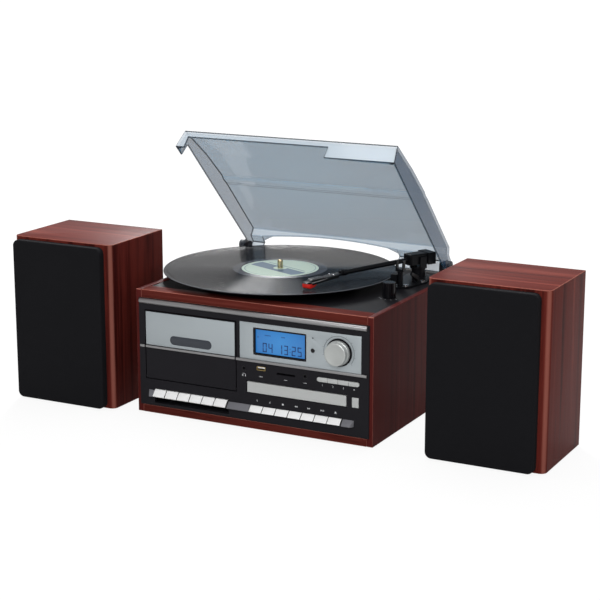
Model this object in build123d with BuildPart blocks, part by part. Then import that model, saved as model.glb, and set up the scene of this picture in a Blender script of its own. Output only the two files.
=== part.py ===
"""Stereo music centre: a wooden cabinet with a turntable on top under a dust cover, a cassette deck, a disc
tray, a radio display and keys on its front, and two loose speakers beside it. All sizes are millimetres."""

import os
from math import asin, atan2, cos, degrees, hypot, radians, sin

from build123d import *

os.makedirs("parts", exist_ok=True)

# ---------------------------------------------------------------- driving sizes
# cabinet
cabinet_width = 330.0
cabinet_depth = 275.0
cabinet_height = 160.0
side_thickness = 8.0
base_thickness = 10.0
rail_height = 10.5
rail_depth = 22.0
back_thickness = 3.0
foot_height = 1.5
foot_radius = 8.0
foot_inset = 20.0

# clearances
board_gap = 0.3
button_gap = 0.3
running_gap = 0.05
key_gap = 0.9
belt_gap = 0.3

# deck and turntable
deck_thickness = 3.0
deck_drop = 1.0
spindle_x = -35.0
spindle_y = 142.0
well_radius = 101.0
well_depth = 9.0
platter_radius = 98.0
platter_rim_height = 14.7
platter_top_thickness = 3.0
platter_wall = 2.5
drum_radius = 70.5
drum_wall = 3.5
shaft_radius = 4.0
bearing_length = 17.0
bearing_wall = 4.0
spindle_radius = 3.55
spindle_above_record = 11.5
mat_radius = 95.0
mat_thickness = 2.5
record_radius = 150.8
record_thickness = 1.8
record_top_above_wood = 12.0
label_radius = 50.0
pulley_radius = 6.0
pulley_height = 10.0
pulley_distance = 86.0
pulley_angle = 135.0
belt_thickness = 1.0
belt_height = 5.0
motor_radius = 17.5
motor_length = 25.0
motor_shaft_radius = 1.0
speed_knob_x = 136.8
speed_knob_y = 105.0
speed_knob_radius = 8.3
speed_knob_height = 19.4
knob_shaft_radius = 3.0

# tonearm
arm_x = 123.0
arm_y = 226.0
arm_height = 25.0
arm_angle = 29.0
arm_tube_radius = 3.2
arm_tube_length = 120.6
arm_drop = 5.0
housing_width = 17.0
housing_front = 19.0
housing_rear = 20.0
housing_height = 14.0
yoke_ear = 2.0
yoke_gap = 0.7
arm_pin_radius = 1.6
arm_shaft_radius = 5.0
arm_base_radius = 17.0
arm_base_thickness = 2.5
column_radius = 9.0
headshell_angle = 10.0
headshell_length = 76.0
headshell_width = 13.0
headshell_thickness = 2.5
stylus_gap = 0.3
arm_rest_x = 127.0
arm_rest_y = 160.0
arm_rest_top = 35.5
cradle_width = 11.0
cradle_height = 14.0
base_screw_a = (132.6, 165.0)
base_screw_b = (141.0, 198.0)

# dust cover
cover_margin = 4.0
cover_taper = 3.5
cover_wall = 2.5
cover_front_y = 19.0
cover_length = 249.5
cover_lip_gap = 2.0
cover_open_angle = 44.6
hinge_from_front = 236.0
hinge_above_lip = 10.0
hinge_pin_radius = 2.5
hinge_plate_inset = 6.5
hinge_plate_thickness = 4.0
hinge_plate_radius = 6.0
knuckle_radius = 6.5
knuckle_length = 4.2

# front
fascia_margin = 4.5
fascia_proud = 2.0
fascia_inner = 3.0
top_bar_margin = 2.5
top_bar_height = 6.5
top_bar_proud = 3.5
strip_height = 3.2
strip_proud = 2.0
strip_z = 86.4
door_left = -150.1
door_right = -20.4
door_bottom = 46.5
door_top = 133.9
door_gap = 1.4
door_thickness = 3.0
door_pivot_y = -0.2
door_pivot_z = 48.5
door_pin_radius = 1.3
face_plate = 0.8
panel_left = -14.0
panel_right = 150.4
panel_bottom = 89.8
panel_top = 135.8
panel_thickness = 1.6
lcd_left = 4.9
lcd_right = 77.4
lcd_bottom = 96.0
lcd_top = 130.0
lcd_frame = 1.8
lcd_glass_back = 2.2
volume_x = 121.2
volume_z = 112.8
volume_ring_radius = 17.2
volume_radius = 14.6
volume_length = 11.6
eye_x = 86.2
eye_z = 110.8
eye_radius = 2.8
lamp_z = 126.3
lamp_radius = 0.9
jack_radius = 1.8
jack_ring_radius = 2.9
phones_x = -8.5
phones_z = 76.8
aux_x = 75.6
aux_z = 77.2
usb_x = 15.3
usb_z = 79.1
usb_width = 12.2
usb_height = 5.2
card_left = 36.8
card_right = 61.9
card_z = 75.6
card_slot_height = 2.6
pill_left = 92.0
pill_right = 148.1
pill_z = 76.25
pill_height = 5.5
tray_left = -4.2
tray_right = 130.9
tray_bottom = 47.2
tray_top = 60.7
tray_front_thickness = 4.5
tray_depth = 148.0
tray_thickness = 6.5
disc_radius = 60.5
disc_recess = 3.0
tray_button_left = 138.7
tray_button_right = 147.3
tray_button_bottom = 47.5
tray_button_top = 59.8

# keys
tape_key_left = -138.2
tape_key_pitch = 17.75
tape_key_count = 6
tape_key_top = 32.4
tape_key_low = 25.2
deck_key_left = 0.6
deck_key_pitch = 17.86
deck_key_count = 7
deck_key_top = 30.8
deck_key_low = 24.4
key_back = 2.2
key_front = 8.6
key_shaft_y = 22.0
key_shaft_z = 28.0
key_shaft_radius = 2.0
recess_bottom = 14.5
trough_back = 20.0
trough_top = 21.8
trough_wall = 1.5
strip_left = -147.0
strip_right = 141.0

# speakers
speaker_width = 149.0
speaker_depth = 122.6
speaker_height = 214.2
speaker_wall = 9.0
speaker_edge_radius = 8.0
left_speaker_x = -268.6
left_speaker_y = -11.5
right_speaker_x = 304.9
right_speaker_y = 2.9
grille_width = 134.0
grille_height = 210.0
grille_depth = 10.0
grille_shift = -3.2
grille_corner = 8.0
grille_wall = 3.0
woofer_radius = 50.0
woofer_hole = 42.0
woofer_z = 92.0
speaker_foot_radius = 6.0

# ---------------------------------------------------------------- sizes that follow
inner_half = cabinet_width / 2 - side_thickness
fascia_half_width = cabinet_width / 2 - fascia_margin
top_bar_half_width = fascia_half_width - top_bar_margin
cover_half_width = inner_half - cover_margin
hinge_plate_outer = cover_half_width - hinge_plate_inset
hinge_plate_inner = hinge_plate_outer - hinge_plate_thickness
knuckle_end = cover_half_width + knuckle_length
hinge_pin_end = knuckle_end - 0.4
deck_top = cabinet_height - deck_drop
deck_under = deck_top - deck_thickness
well_floor = deck_top - well_depth
well_under = well_floor - deck_thickness
record_top = cabinet_height + record_top_above_wood
record_under = record_top - record_thickness
platter_top = record_under - mat_thickness
boss_top = well_floor + 5.0
pulley_x = spindle_x + pulley_distance * cos(radians(pulley_angle))
pulley_y = spindle_y + pulley_distance * sin(radians(pulley_angle))
arm_z = deck_top + arm_height + 1.0
fascia_bottom = base_thickness + 0.5
fascia_top = cabinet_height - rail_height
cover_lip = cabinet_height + cover_lip_gap
hinge_y = cover_front_y + hinge_from_front
hinge_z = cover_lip + hinge_above_lip

# The origin is at the middle of the footprint, on the surface that the set stands on.
footprint_left = left_speaker_x - speaker_width / 2
footprint_right = right_speaker_x + speaker_width / 2
footprint_front = left_speaker_y - grille_depth
footprint_back = spindle_y + record_radius
mid_x = -(footprint_left + footprint_right) / 2
front_y = -(footprint_front + footprint_back) / 2


def front_plane(y):
    """A plane seen from the front, y behind the cabinet's front. Extrusions come out towards the user."""
    return Plane(origin=(mid_x, front_y + y, foot_height), x_dir=(1, 0, 0), z_dir=(0, -1, 0))


def level_plane(z):
    """A level plane at height z above the cabinet's underside. Extrusions go up."""
    return Plane(origin=(mid_x, front_y, foot_height + z), x_dir=(1, 0, 0), z_dir=(0, 0, 1))


def side_plane(x):
    """A plane seen from the right, x from the cabinet's middle. Extrusions go right."""
    return Plane(origin=(mid_x + x, front_y, foot_height), x_dir=(0, 1, 0), z_dir=(1, 0, 0))


def slab(x_low, x_high, y_low, y_high, mode=Mode.ADD):
    """A rectangle in the sketch in hand, from its low corner to its high corner."""
    with Locations(((x_low + x_high) / 2, (y_low + y_high) / 2)):
        Rectangle(x_high - x_low, y_high - y_low, mode=mode)


def write(piece, name):
    """Labels a finished piece and writes its STEP file."""
    piece.part.label = name
    export_step(piece.part, f"parts/{name}.step")


# ---------------------------------------------------------------- cabinet
for name, inner_x, outward in (("side_panel_left", -inner_half, -1), ("side_panel_right", inner_half, 1)):
    with BuildPart() as side_panel:
        with BuildSketch(side_plane(inner_x)):
            slab(0, cabinet_depth, 0, cabinet_height)
        extrude(amount=outward * side_thickness)
        outer_edges = side_panel.edges().group_by(Axis.X)[-1 if outward > 0 else 0]
        fillet(outer_edges, 0.5)
    write(side_panel, name)

with BuildPart() as base_board:
    with BuildSketch(level_plane(0)):
        slab(-inner_half, inner_half, 0, cabinet_depth)
    extrude(amount=base_thickness)
write(base_board, "base_board")

with BuildPart() as front_top_rail:
    with BuildSketch(level_plane(fascia_top)):
        slab(-inner_half, inner_half, 0, rail_depth)
    extrude(amount=rail_height)
write(front_top_rail, "front_top_rail")

back_front_y = cabinet_depth - back_thickness
socket_row_z = 120.0
socket_row_x = (-120.0, -102.0, -72.0, -54.0)
gland_x, gland_z, gland_radius = 118.0, 32.0, 6.0
terminal_x, terminal_z, terminal_width, terminal_height = 88.0, 120.0, 62.0, 24.0
back_screw_x = inner_half - 9.0
back_screw_spots = [
    (x, z) for x in (-back_screw_x, back_screw_x) for z in (base_thickness + 8.0, deck_under - 8.0)
]
screw_shank_radius = 1.5
with BuildPart() as back_panel:
    with BuildSketch(front_plane(cabinet_depth)):
        slab(-inner_half + board_gap, inner_half - board_gap, base_thickness, deck_under)
        with Locations(*[(x, socket_row_z) for x in socket_row_x]):
            Circle(4.2, mode=Mode.SUBTRACT)
        with Locations((gland_x, gland_z)):
            Circle(gland_radius, mode=Mode.SUBTRACT)
        with Locations((terminal_x, terminal_z)):
            Rectangle(terminal_width, terminal_height, mode=Mode.SUBTRACT)
        with Locations(*back_screw_spots):
            Circle(screw_shank_radius + 0.1, mode=Mode.SUBTRACT)
        with Locations(*[(x, 70.0) for x in range(-30, 31, 12)]):
            SlotOverall(40.0, 4.0, rotation=90, mode=Mode.SUBTRACT)
    extrude(amount=back_thickness)
write(back_panel, "back_panel")

# ---------------------------------------------------------------- deck plate
with BuildPart() as deck_plate:
    with BuildSketch(level_plane(deck_under)):
        slab(-inner_half + board_gap, inner_half - board_gap, rail_depth + board_gap, cabinet_depth)
    extrude(amount=deck_thickness)
    with BuildSketch(level_plane(well_under)):
        with Locations((spindle_x, spindle_y)):
            Circle(well_radius + deck_thickness)
    extrude(amount=well_depth)
    with BuildSketch(level_plane(well_floor)):
        with Locations((spindle_x, spindle_y)):
            Circle(well_radius)
    extrude(amount=well_depth, mode=Mode.SUBTRACT)
    with BuildSketch(level_plane(boss_top - bearing_length)):
        with Locations((spindle_x, spindle_y)):
            Circle(shaft_radius + bearing_wall)
    extrude(amount=bearing_length)
    with BuildSketch(level_plane(deck_under - 8.0)):
        with Locations((speed_knob_x, speed_knob_y)):
            Circle(knob_shaft_radius + 3.0)
    extrude(amount=8.0)
    with BuildSketch(level_plane(0)):
        with Locations((spindle_x, spindle_y)):
            Circle(shaft_radius + running_gap)
        with Locations((speed_knob_x, speed_knob_y)):
            Circle(knob_shaft_radius + running_gap)
        with Locations((pulley_x, pulley_y)):
            Circle(pulley_radius + 3.0)
        with Locations((arm_x, arm_y)):
            Circle(column_radius + 0.3)
    extrude(amount=cabinet_height, mode=Mode.SUBTRACT)
    well_edge = deck_plate.edges().filter_by(GeomType.CIRCLE).group_by(Axis.Z)[-1].sort_by(SortBy.RADIUS)[-1]
    fillet(well_edge, 1.0)
write(deck_plate, "deck_plate")

# ---------------------------------------------------------------- turntable
turn_plane = Plane(
    origin=(mid_x + spindle_x, front_y + spindle_y, foot_height), x_dir=(1, 0, 0), z_dir=(0, -1, 0)
)
turn_axis = Axis((mid_x + spindle_x, front_y + spindle_y, 0), (0, 0, 1))
hub_bottom = boss_top + 0.3
rim_bottom = platter_top - platter_rim_height
plate_under = platter_top - platter_top_thickness
drum_bottom = hub_bottom
spindle_top = record_top + spindle_above_record
with BuildPart() as platter:
    with BuildSketch(turn_plane):
        slab(0, platter_radius, plate_under, platter_top)
        slab(platter_radius - platter_wall, platter_radius, rim_bottom, platter_top)
        slab(drum_radius - drum_wall, drum_radius, drum_bottom, platter_top)
        slab(0, shaft_radius + bearing_wall, hub_bottom, platter_top)
        slab(0, shaft_radius, boss_top - bearing_length, platter_top)
        slab(0, spindle_radius, platter_top, spindle_top)
    revolve(axis=turn_axis)
    spindle_edge = platter.edges().group_by(Axis.Z)[-1]
    fillet(spindle_edge, 1.8)
write(platter, "platter")

with BuildPart() as slip_mat:
    with BuildSketch(level_plane(platter_top)):
        with Locations((spindle_x, spindle_y)):
            Circle(mat_radius)
            Circle(spindle_radius + 0.15, mode=Mode.SUBTRACT)
    extrude(amount=mat_thickness)
write(slip_mat, "slip_mat")

record_bead = 4.5
groove_drop = 0.3
groove_inner = label_radius + 1.5
groove_outer = record_radius - record_bead
with BuildPart() as record:
    with BuildSketch(turn_plane):
        slab(spindle_radius + 0.1, record_radius, record_under, record_top)
        slab(groove_inner, groove_outer, record_top - groove_drop, record_top, mode=Mode.SUBTRACT)
        slab(groove_inner, groove_outer, record_under, record_under + groove_drop, mode=Mode.SUBTRACT)
    revolve(axis=turn_axis)
write(record, "record")

pulley_plane = Plane(
    origin=(mid_x + pulley_x, front_y + pulley_y, foot_height), x_dir=(1, 0, 0), z_dir=(0, -1, 0)
)
pulley_axis = Axis((mid_x + pulley_x, front_y + pulley_y, 0), (0, 0, 1))
belt_bottom = drum_bottom + 1.0
pulley_bottom = belt_bottom + belt_height / 2 - pulley_height / 2 + 1.0
with BuildPart() as motor_pulley:
    with BuildSketch(pulley_plane):
        slab(0, pulley_radius, pulley_bottom, pulley_bottom + pulley_height - 2.0)
        slab(0, pulley_radius + 1.2, pulley_bottom - 1.0, pulley_bottom)
        slab(0, motor_shaft_radius, well_under - motor_length + 4.0, pulley_bottom + pulley_height - 2.0)
    revolve(axis=pulley_axis)
write(motor_pulley, "motor_pulley")

with BuildPart() as drive_motor:
    with BuildSketch(level_plane(well_under)):
        with Locations((pulley_x, pulley_y)):
            Circle(motor_radius)
    extrude(amount=-motor_length)
    with BuildSketch(level_plane(well_under)):
        with Locations((pulley_x, pulley_y)):
            Circle(motor_shaft_radius + running_gap)
    extrude(amount=-(motor_length - 3.0), mode=Mode.SUBTRACT)
write(drive_motor, "drive_motor")


def belt_outline(plane, extra):
    """The outline of the belt, extra outside the drum and the pulley that it runs round."""
    with BuildSketch(plane) as outline:
        with Locations((spindle_x, spindle_y)):
            Circle(drum_radius + extra)
        with Locations((pulley_x, pulley_y)):
            Circle(pulley_radius + extra)
        make_hull()
    return outline.sketch


with BuildPart() as drive_belt:
    extrude(belt_outline(level_plane(belt_bottom), belt_gap + belt_thickness), amount=belt_height)
    extrude(belt_outline(level_plane(belt_bottom), belt_gap), amount=belt_height, mode=Mode.SUBTRACT)
write(drive_belt, "drive_belt")

knob_bottom = deck_top + 0.4
flute_count = 12
with BuildPart() as speed_knob:
    with BuildSketch(level_plane(knob_bottom)):
        with Locations((speed_knob_x, speed_knob_y)):
            Circle(speed_knob_radius)
            with PolarLocations(speed_knob_radius + 0.4, flute_count):
                Circle(1.1, mode=Mode.SUBTRACT)
    extrude(amount=speed_knob_height)
    chamfer(speed_knob.faces().sort_by(Axis.Z)[-1].edges(), 0.5)
    with BuildSketch(level_plane(knob_bottom)):
        with Locations((speed_knob_x, speed_knob_y)):
            Circle(knob_shaft_radius)
    extrude(amount=-(deck_thickness + 7.0))
write(speed_knob, "speed_knob")

# ---------------------------------------------------------------- tonearm
arm_turn = radians(arm_angle)
across = (cos(arm_turn), -sin(arm_turn), 0)


def arm_plane(height):
    """A level plane over the tonearm's pivot, its y to the arm's rear, height above the pivot's pins."""
    return Plane(
        origin=(mid_x + arm_x, front_y + arm_y, foot_height + arm_z + height), x_dir=across, z_dir=(0, 0, 1)
    )


def arm_cross_plane(outward):
    """A plane square to the tonearm's pivot pins, outward from the middle of the arm."""
    return Plane(
        origin=arm_plane(0).origin + Vector(*across) * outward, x_dir=(0, 0, 1), z_dir=across
    )


column_top = arm_z - 13.0
with BuildPart() as arm_base:
    with BuildSketch(level_plane(deck_top)):
        with Locations((arm_x, arm_y)):
            Circle(arm_base_radius)
        with Locations(base_screw_a, base_screw_b, (arm_rest_x - 3.0, arm_rest_y - 4.0)):
            Circle(6.0)
        make_hull()
    extrude(amount=arm_base_thickness)
    with BuildSketch(level_plane(deck_under - 6.0)):
        with Locations((arm_x, arm_y)):
            Circle(column_radius)
    extrude(amount=column_top - deck_under + 6.0)
    with BuildSketch(level_plane(deck_under - 6.0)):
        with Locations((arm_x, arm_y)):
            Circle(arm_shaft_radius + running_gap)
    extrude(amount=cabinet_height, mode=Mode.SUBTRACT)
    # the arm rest: a post with a side block and a cradle that holds the parked tube
    with BuildSketch(level_plane(deck_top + arm_base_thickness)):
        with Locations((arm_rest_x, arm_rest_y)):
            Circle(3.5)
    extrude(amount=arm_rest_top - arm_base_thickness - cradle_height)
    with BuildSketch(level_plane(deck_top + arm_rest_top - cradle_height)):
        with Locations((arm_rest_x, arm_rest_y)):
            Rectangle(cradle_width, 6.0)
    extrude(amount=cradle_height)
    with BuildSketch(level_plane(deck_top + arm_rest_top - cradle_height + 3.0)):
        with Locations((arm_rest_x, arm_rest_y)):
            Rectangle(2 * arm_tube_radius + 1.0, 8.0)
    extrude(amount=cradle_height, mode=Mode.SUBTRACT)
    with BuildSketch(level_plane(deck_top + 6.0)):
        slab(arm_rest_x - 10.3, arm_rest_x - 2.0, arm_rest_y - 7.0, arm_rest_y + 5.0)
    extrude(amount=12.0)
    # the bearing block of the cue lever
    with BuildSketch(level_plane(deck_top + arm_base_thickness)):
        slab(132.0, 136.0, 186.0, 194.0)
    extrude(amount=9.0)
cue_x, cue_y, cue_z = 134.0, 190.0, deck_top + 8.0
cue_pin_radius = 1.5
with BuildPart() as bored_arm_base:
    add(arm_base.part)
    with BuildSketch(side_plane(cue_x - 3.0)):
        with Locations((cue_y, cue_z)):
            Circle(cue_pin_radius + running_gap)
    extrude(amount=6.0, mode=Mode.SUBTRACT)
write(bored_arm_base, "arm_base")

with BuildPart() as cue_lever:
    with BuildSketch(side_plane(cue_x + 2.3)):
        with Locations((cue_y, cue_z)):
            Circle(3.2)
        with BuildLine():
            Polyline(
                (cue_y - 2.0, cue_z - 2.0),
                (cue_y + 2.0, cue_z + 2.0),
                (cue_y - 19.0, cue_z + 11.0),
                (cue_y - 21.0, cue_z + 8.0),
                close=True,
            )
        make_face()
    extrude(amount=2.6)
    with BuildSketch(side_plane(cue_x - 2.3)):
        with Locations((cue_y, cue_z)):
            Circle(cue_pin_radius)
    extrude(amount=4.8)
write(cue_lever, "cue_lever")

ear_x = housing_width / 2 + yoke_gap
with BuildPart() as arm_yoke:
    with BuildSketch(arm_plane(-12.7)):
        Circle(ear_x + yoke_ear)
    extrude(amount=2.7)
    with BuildSketch(arm_plane(-12.7)):
        Circle(arm_shaft_radius)
    extrude(amount=-22.0)
    for side in (-1, 1):
        with BuildSketch(arm_plane(-10.0)):
            with Locations((side * (ear_x + yoke_ear / 2), 0)):
                Rectangle(yoke_ear, 10.0)
        extrude(amount=13.0)
        with BuildSketch(arm_cross_plane(side * (housing_width / 2 - 3.0))):
            Circle(arm_pin_radius)
        extrude(amount=side * (yoke_gap + 3.0 + yoke_ear / 2))
write(arm_yoke, "arm_yoke")

tube_slope = asin(arm_drop / arm_tube_length)
tube_dir = (-sin(arm_turn) * cos(tube_slope), -cos(arm_turn) * cos(tube_slope), -sin(tube_slope))
tube_start = 12.0
arm_pivot = Vector(mid_x + arm_x, front_y + arm_y, foot_height + arm_z)
tube_origin = arm_pivot + Vector(*tube_dir) * tube_start
tube_plane = Plane(origin=tube_origin, x_dir=across, z_dir=tube_dir)
collar_length = 6.0
with BuildPart() as tonearm:
    with BuildSketch(arm_plane(-housing_height / 2)):
        slab(-housing_width / 2, housing_width / 2, -housing_front, housing_rear)
    extrude(amount=housing_height)
    fillet(tonearm.edges().filter_by(Axis.Z), 3.0)
    fillet(tonearm.faces().sort_by(Axis.Z)[-1].edges(), 1.5)
    # the weight at the rear is wider and taller than the rest
    with BuildSketch(arm_plane(-housing_height / 2 - 1.0)):
        slab(-housing_width / 2 - 2.5, housing_width / 2 + 2.5, 8.0, housing_rear)
    extrude(amount=housing_height + 1.5)
    with BuildSketch(tube_plane):
        Circle(arm_tube_radius)
    extrude(amount=arm_tube_length - tube_start)
    with BuildSketch(tube_plane.offset(arm_tube_length - tube_start - collar_length)):
        Circle(arm_tube_radius + 0.9)
    extrude(amount=collar_length)
    with BuildSketch(arm_cross_plane(-housing_width)):
        Circle(arm_pin_radius + running_gap)
    extrude(amount=2 * housing_width, mode=Mode.SUBTRACT)
write(tonearm, "tonearm")

# The headshell is level, and its neck stands on the end of the tube.
neck_length = 4.0
shell_start = arm_pivot + Vector(*tube_dir) * arm_tube_length
shell_turn = radians(headshell_angle)
shell_across = (cos(shell_turn), -sin(shell_turn), 0)
stylus_from_start = headshell_length - 2.3
cartridge_length = 19.0
cartridge_width = 9.0


def shell_plane(height):
    """A level plane at the tube's end, its y back along the headshell, height above the shell's middle."""
    return Plane(origin=shell_start + Vector(0, 0, height), x_dir=shell_across, z_dir=(0, 0, 1))


stylus_drop = foot_height + record_top + stylus_gap - shell_start.Z
with BuildPart() as headshell:
    with BuildSketch(Plane(origin=shell_start, x_dir=across, z_dir=tube_dir)):
        Circle(arm_tube_radius + 0.2)
    extrude(amount=neck_length)
    with BuildSketch(shell_plane(-headshell_thickness / 2)):
        with BuildLine():
            Polyline(
                (-3.0, -2.5),
                (3.0, -2.5),
                (headshell_width / 2, -14.0),
                (headshell_width / 2, 3.0 - headshell_length),
                (headshell_width / 2 - 3.0, -headshell_length),
                (3.0 - headshell_width / 2, -headshell_length),
                (-headshell_width / 2, 3.0 - headshell_length),
                (-headshell_width / 2, -14.0),
                close=True,
            )
        make_face()
    extrude(amount=headshell_thickness)
    # the cartridge under the shell, its underside rising to the rear
    cartridge_plane = Plane(
        origin=shell_start, x_dir=(sin(shell_turn), cos(shell_turn), 0), z_dir=shell_across
    )
    with BuildSketch(cartridge_plane.offset(-cartridge_width / 2)):
        with BuildLine():
            Polyline(
                (-headshell_length + 1.0, 0),
                (-headshell_length + 1.0, stylus_drop + 3.0),
                (-stylus_from_start - 0.5, stylus_drop + 1.5),
                (-stylus_from_start + 12.0, stylus_drop + 2.5),
                (-headshell_length + cartridge_length, 0),
                close=True,
            )
        make_face()
    extrude(amount=cartridge_width)
    with BuildSketch(shell_plane(stylus_drop)):
        with Locations((0, -stylus_from_start)):
            Circle(0.4)
    extrude(amount=-stylus_drop)
write(headshell, "headshell")

# ---------------------------------------------------------------- dust cover
cover_turn = radians(cover_open_angle)
cover_back = Vector(0, cos(cover_turn), -sin(cover_turn))
cover_up = Vector(0, sin(cover_turn), cos(cover_turn))
hinge_point = Vector(mid_x, front_y + hinge_y, foot_height + hinge_z)
cover_corner = hinge_point - cover_back * hinge_from_front - cover_up * hinge_above_lip


def cover_side(x):
    """A plane of the open cover seen from the right: back from its front lip, then up from the lip."""
    return Plane(origin=cover_corner + Vector(x, 0, 0), x_dir=cover_back, z_dir=(1, 0, 0))


def cover_front(from_lip):
    """A plane of the open cover seen from its front, from_lip behind the front lip."""
    return Plane(origin=cover_corner + cover_back * from_lip, x_dir=(1, 0, 0), z_dir=cover_back * -1)


cover_profile = [
    (0, 0),
    (0, 26.0),
    (59.7, 35.0),
    (112.0, 38.9),
    (117.5, 37.5),
    (128.5, 38.5),
    (233.0, 37.3),
    (237.5, 27.3),
    (cover_length, 25.1),
    (cover_length, 7.5),
    (241.0, 0),
]
cover_shoulder = 23.0
cover_height = 39.0
cover_reach = 300.0
cut_height = 16.0
front_cut_left, front_cut_right = 13.0 - cover_half_width, 58.0
side_cut_front, side_cut_back = 18.0, 231.0
rear_cut_left, rear_cut_right = 24.0 - cover_half_width, 75.0
rear_arch_end, rear_arch_middle = 25.7, 31.5


def cover_form(inset, low):
    """The solid form of the cover, drawn in by inset all round for its hollow, down to low at its lip."""
    with BuildPart() as form:
        with BuildSketch(cover_side(-cover_half_width)):
            with BuildLine():
                Polyline(*cover_profile, close=True)
            make_face()
            if inset:
                offset(amount=-inset, kind=Kind.INTERSECTION)
                slab(inset, cover_length - inset, low, cover_shoulder - 2 * inset)
        extrude(amount=2 * cover_half_width)
        lip_half = cover_half_width - inset - low * cover_taper / cover_shoulder
        shoulder_half = cover_half_width - cover_taper - inset
        top_half = shoulder_half - cover_taper * 0.7
        with BuildSketch(cover_front(-10.0)):
            with BuildLine():
                Polyline(
                    (-lip_half, low),
                    (lip_half, low),
                    (shoulder_half, cover_shoulder),
                    (top_half, cover_height),
                    (-top_half, cover_height),
                    (-shoulder_half, cover_shoulder),
                    close=True,
                )
            make_face()
        extrude(amount=-cover_reach, mode=Mode.INTERSECT)
    return form.part


with BuildPart() as dust_cover:
    add(cover_form(0, 0))
    add(cover_form(cover_wall, -3.0), mode=Mode.SUBTRACT)
    with BuildSketch(cover_front(-1.0)):
        slab(front_cut_left, front_cut_right, -1.0, cut_height)
    extrude(amount=-8.0, mode=Mode.SUBTRACT)
    with BuildSketch(cover_side(-cover_half_width - 5.0)):
        slab(side_cut_front, side_cut_back, -1.0, cut_height)
    extrude(amount=15.0, mode=Mode.SUBTRACT)
    rear_middle = (rear_cut_left + rear_cut_right) / 2
    with BuildSketch(cover_front(cover_length + 5.0)):
        with BuildLine():
            Line((rear_cut_left, -2.0), (rear_cut_left, rear_arch_end))
            ThreePointArc(
                (rear_cut_left, rear_arch_end), (rear_middle, rear_arch_middle), (rear_cut_right, rear_arch_end)
            )
            Line((rear_cut_right, rear_arch_end), (rear_cut_right, -2.0))
            Line((rear_cut_right, -2.0), (rear_cut_left, -2.0))
        make_face()
    extrude(amount=cover_length + 5.0 - 228.0, mode=Mode.SUBTRACT)
    for side in (-1, 1):
        # a round knuckle outside each wall takes the hinge pin
        with BuildSketch(cover_side(side * (cover_half_width - 2.7))):
            with Locations((hinge_from_front, hinge_above_lip)):
                Circle(knuckle_radius)
        extrude(amount=side * (knuckle_end - cover_half_width + 2.7))
        # a short peg under each front corner
        with BuildSketch(cover_side(side * (cover_half_width - 7.0))):
            slab(0.2, 2.4, -(cover_lip_gap - 0.2), 1.0)
        extrude(amount=side * 5.0)
    with BuildSketch(cover_side(-cover_reach)):
        with Locations((hinge_from_front, hinge_above_lip)):
            Circle(hinge_pin_radius + running_gap)
    extrude(amount=2 * cover_reach, mode=Mode.SUBTRACT)
write(dust_cover, "dust_cover")

with BuildPart() as hinge_brackets:
    for side in (-1, 1):
        with BuildSketch(side_plane(side * hinge_plate_inner)):
            with Locations((hinge_y, hinge_z)):
                Circle(hinge_plate_radius)
            slab(hinge_y - hinge_plate_radius, hinge_y + 3.5, deck_top, hinge_z)
        extrude(amount=side * (hinge_plate_outer - hinge_plate_inner))
        with BuildSketch(side_plane(side * hinge_plate_outer)):
            with Locations((hinge_y, hinge_z)):
                Circle(hinge_pin_radius)
        extrude(amount=side * (hinge_pin_end - hinge_plate_outer))
write(hinge_brackets, "hinge_brackets")

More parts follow.
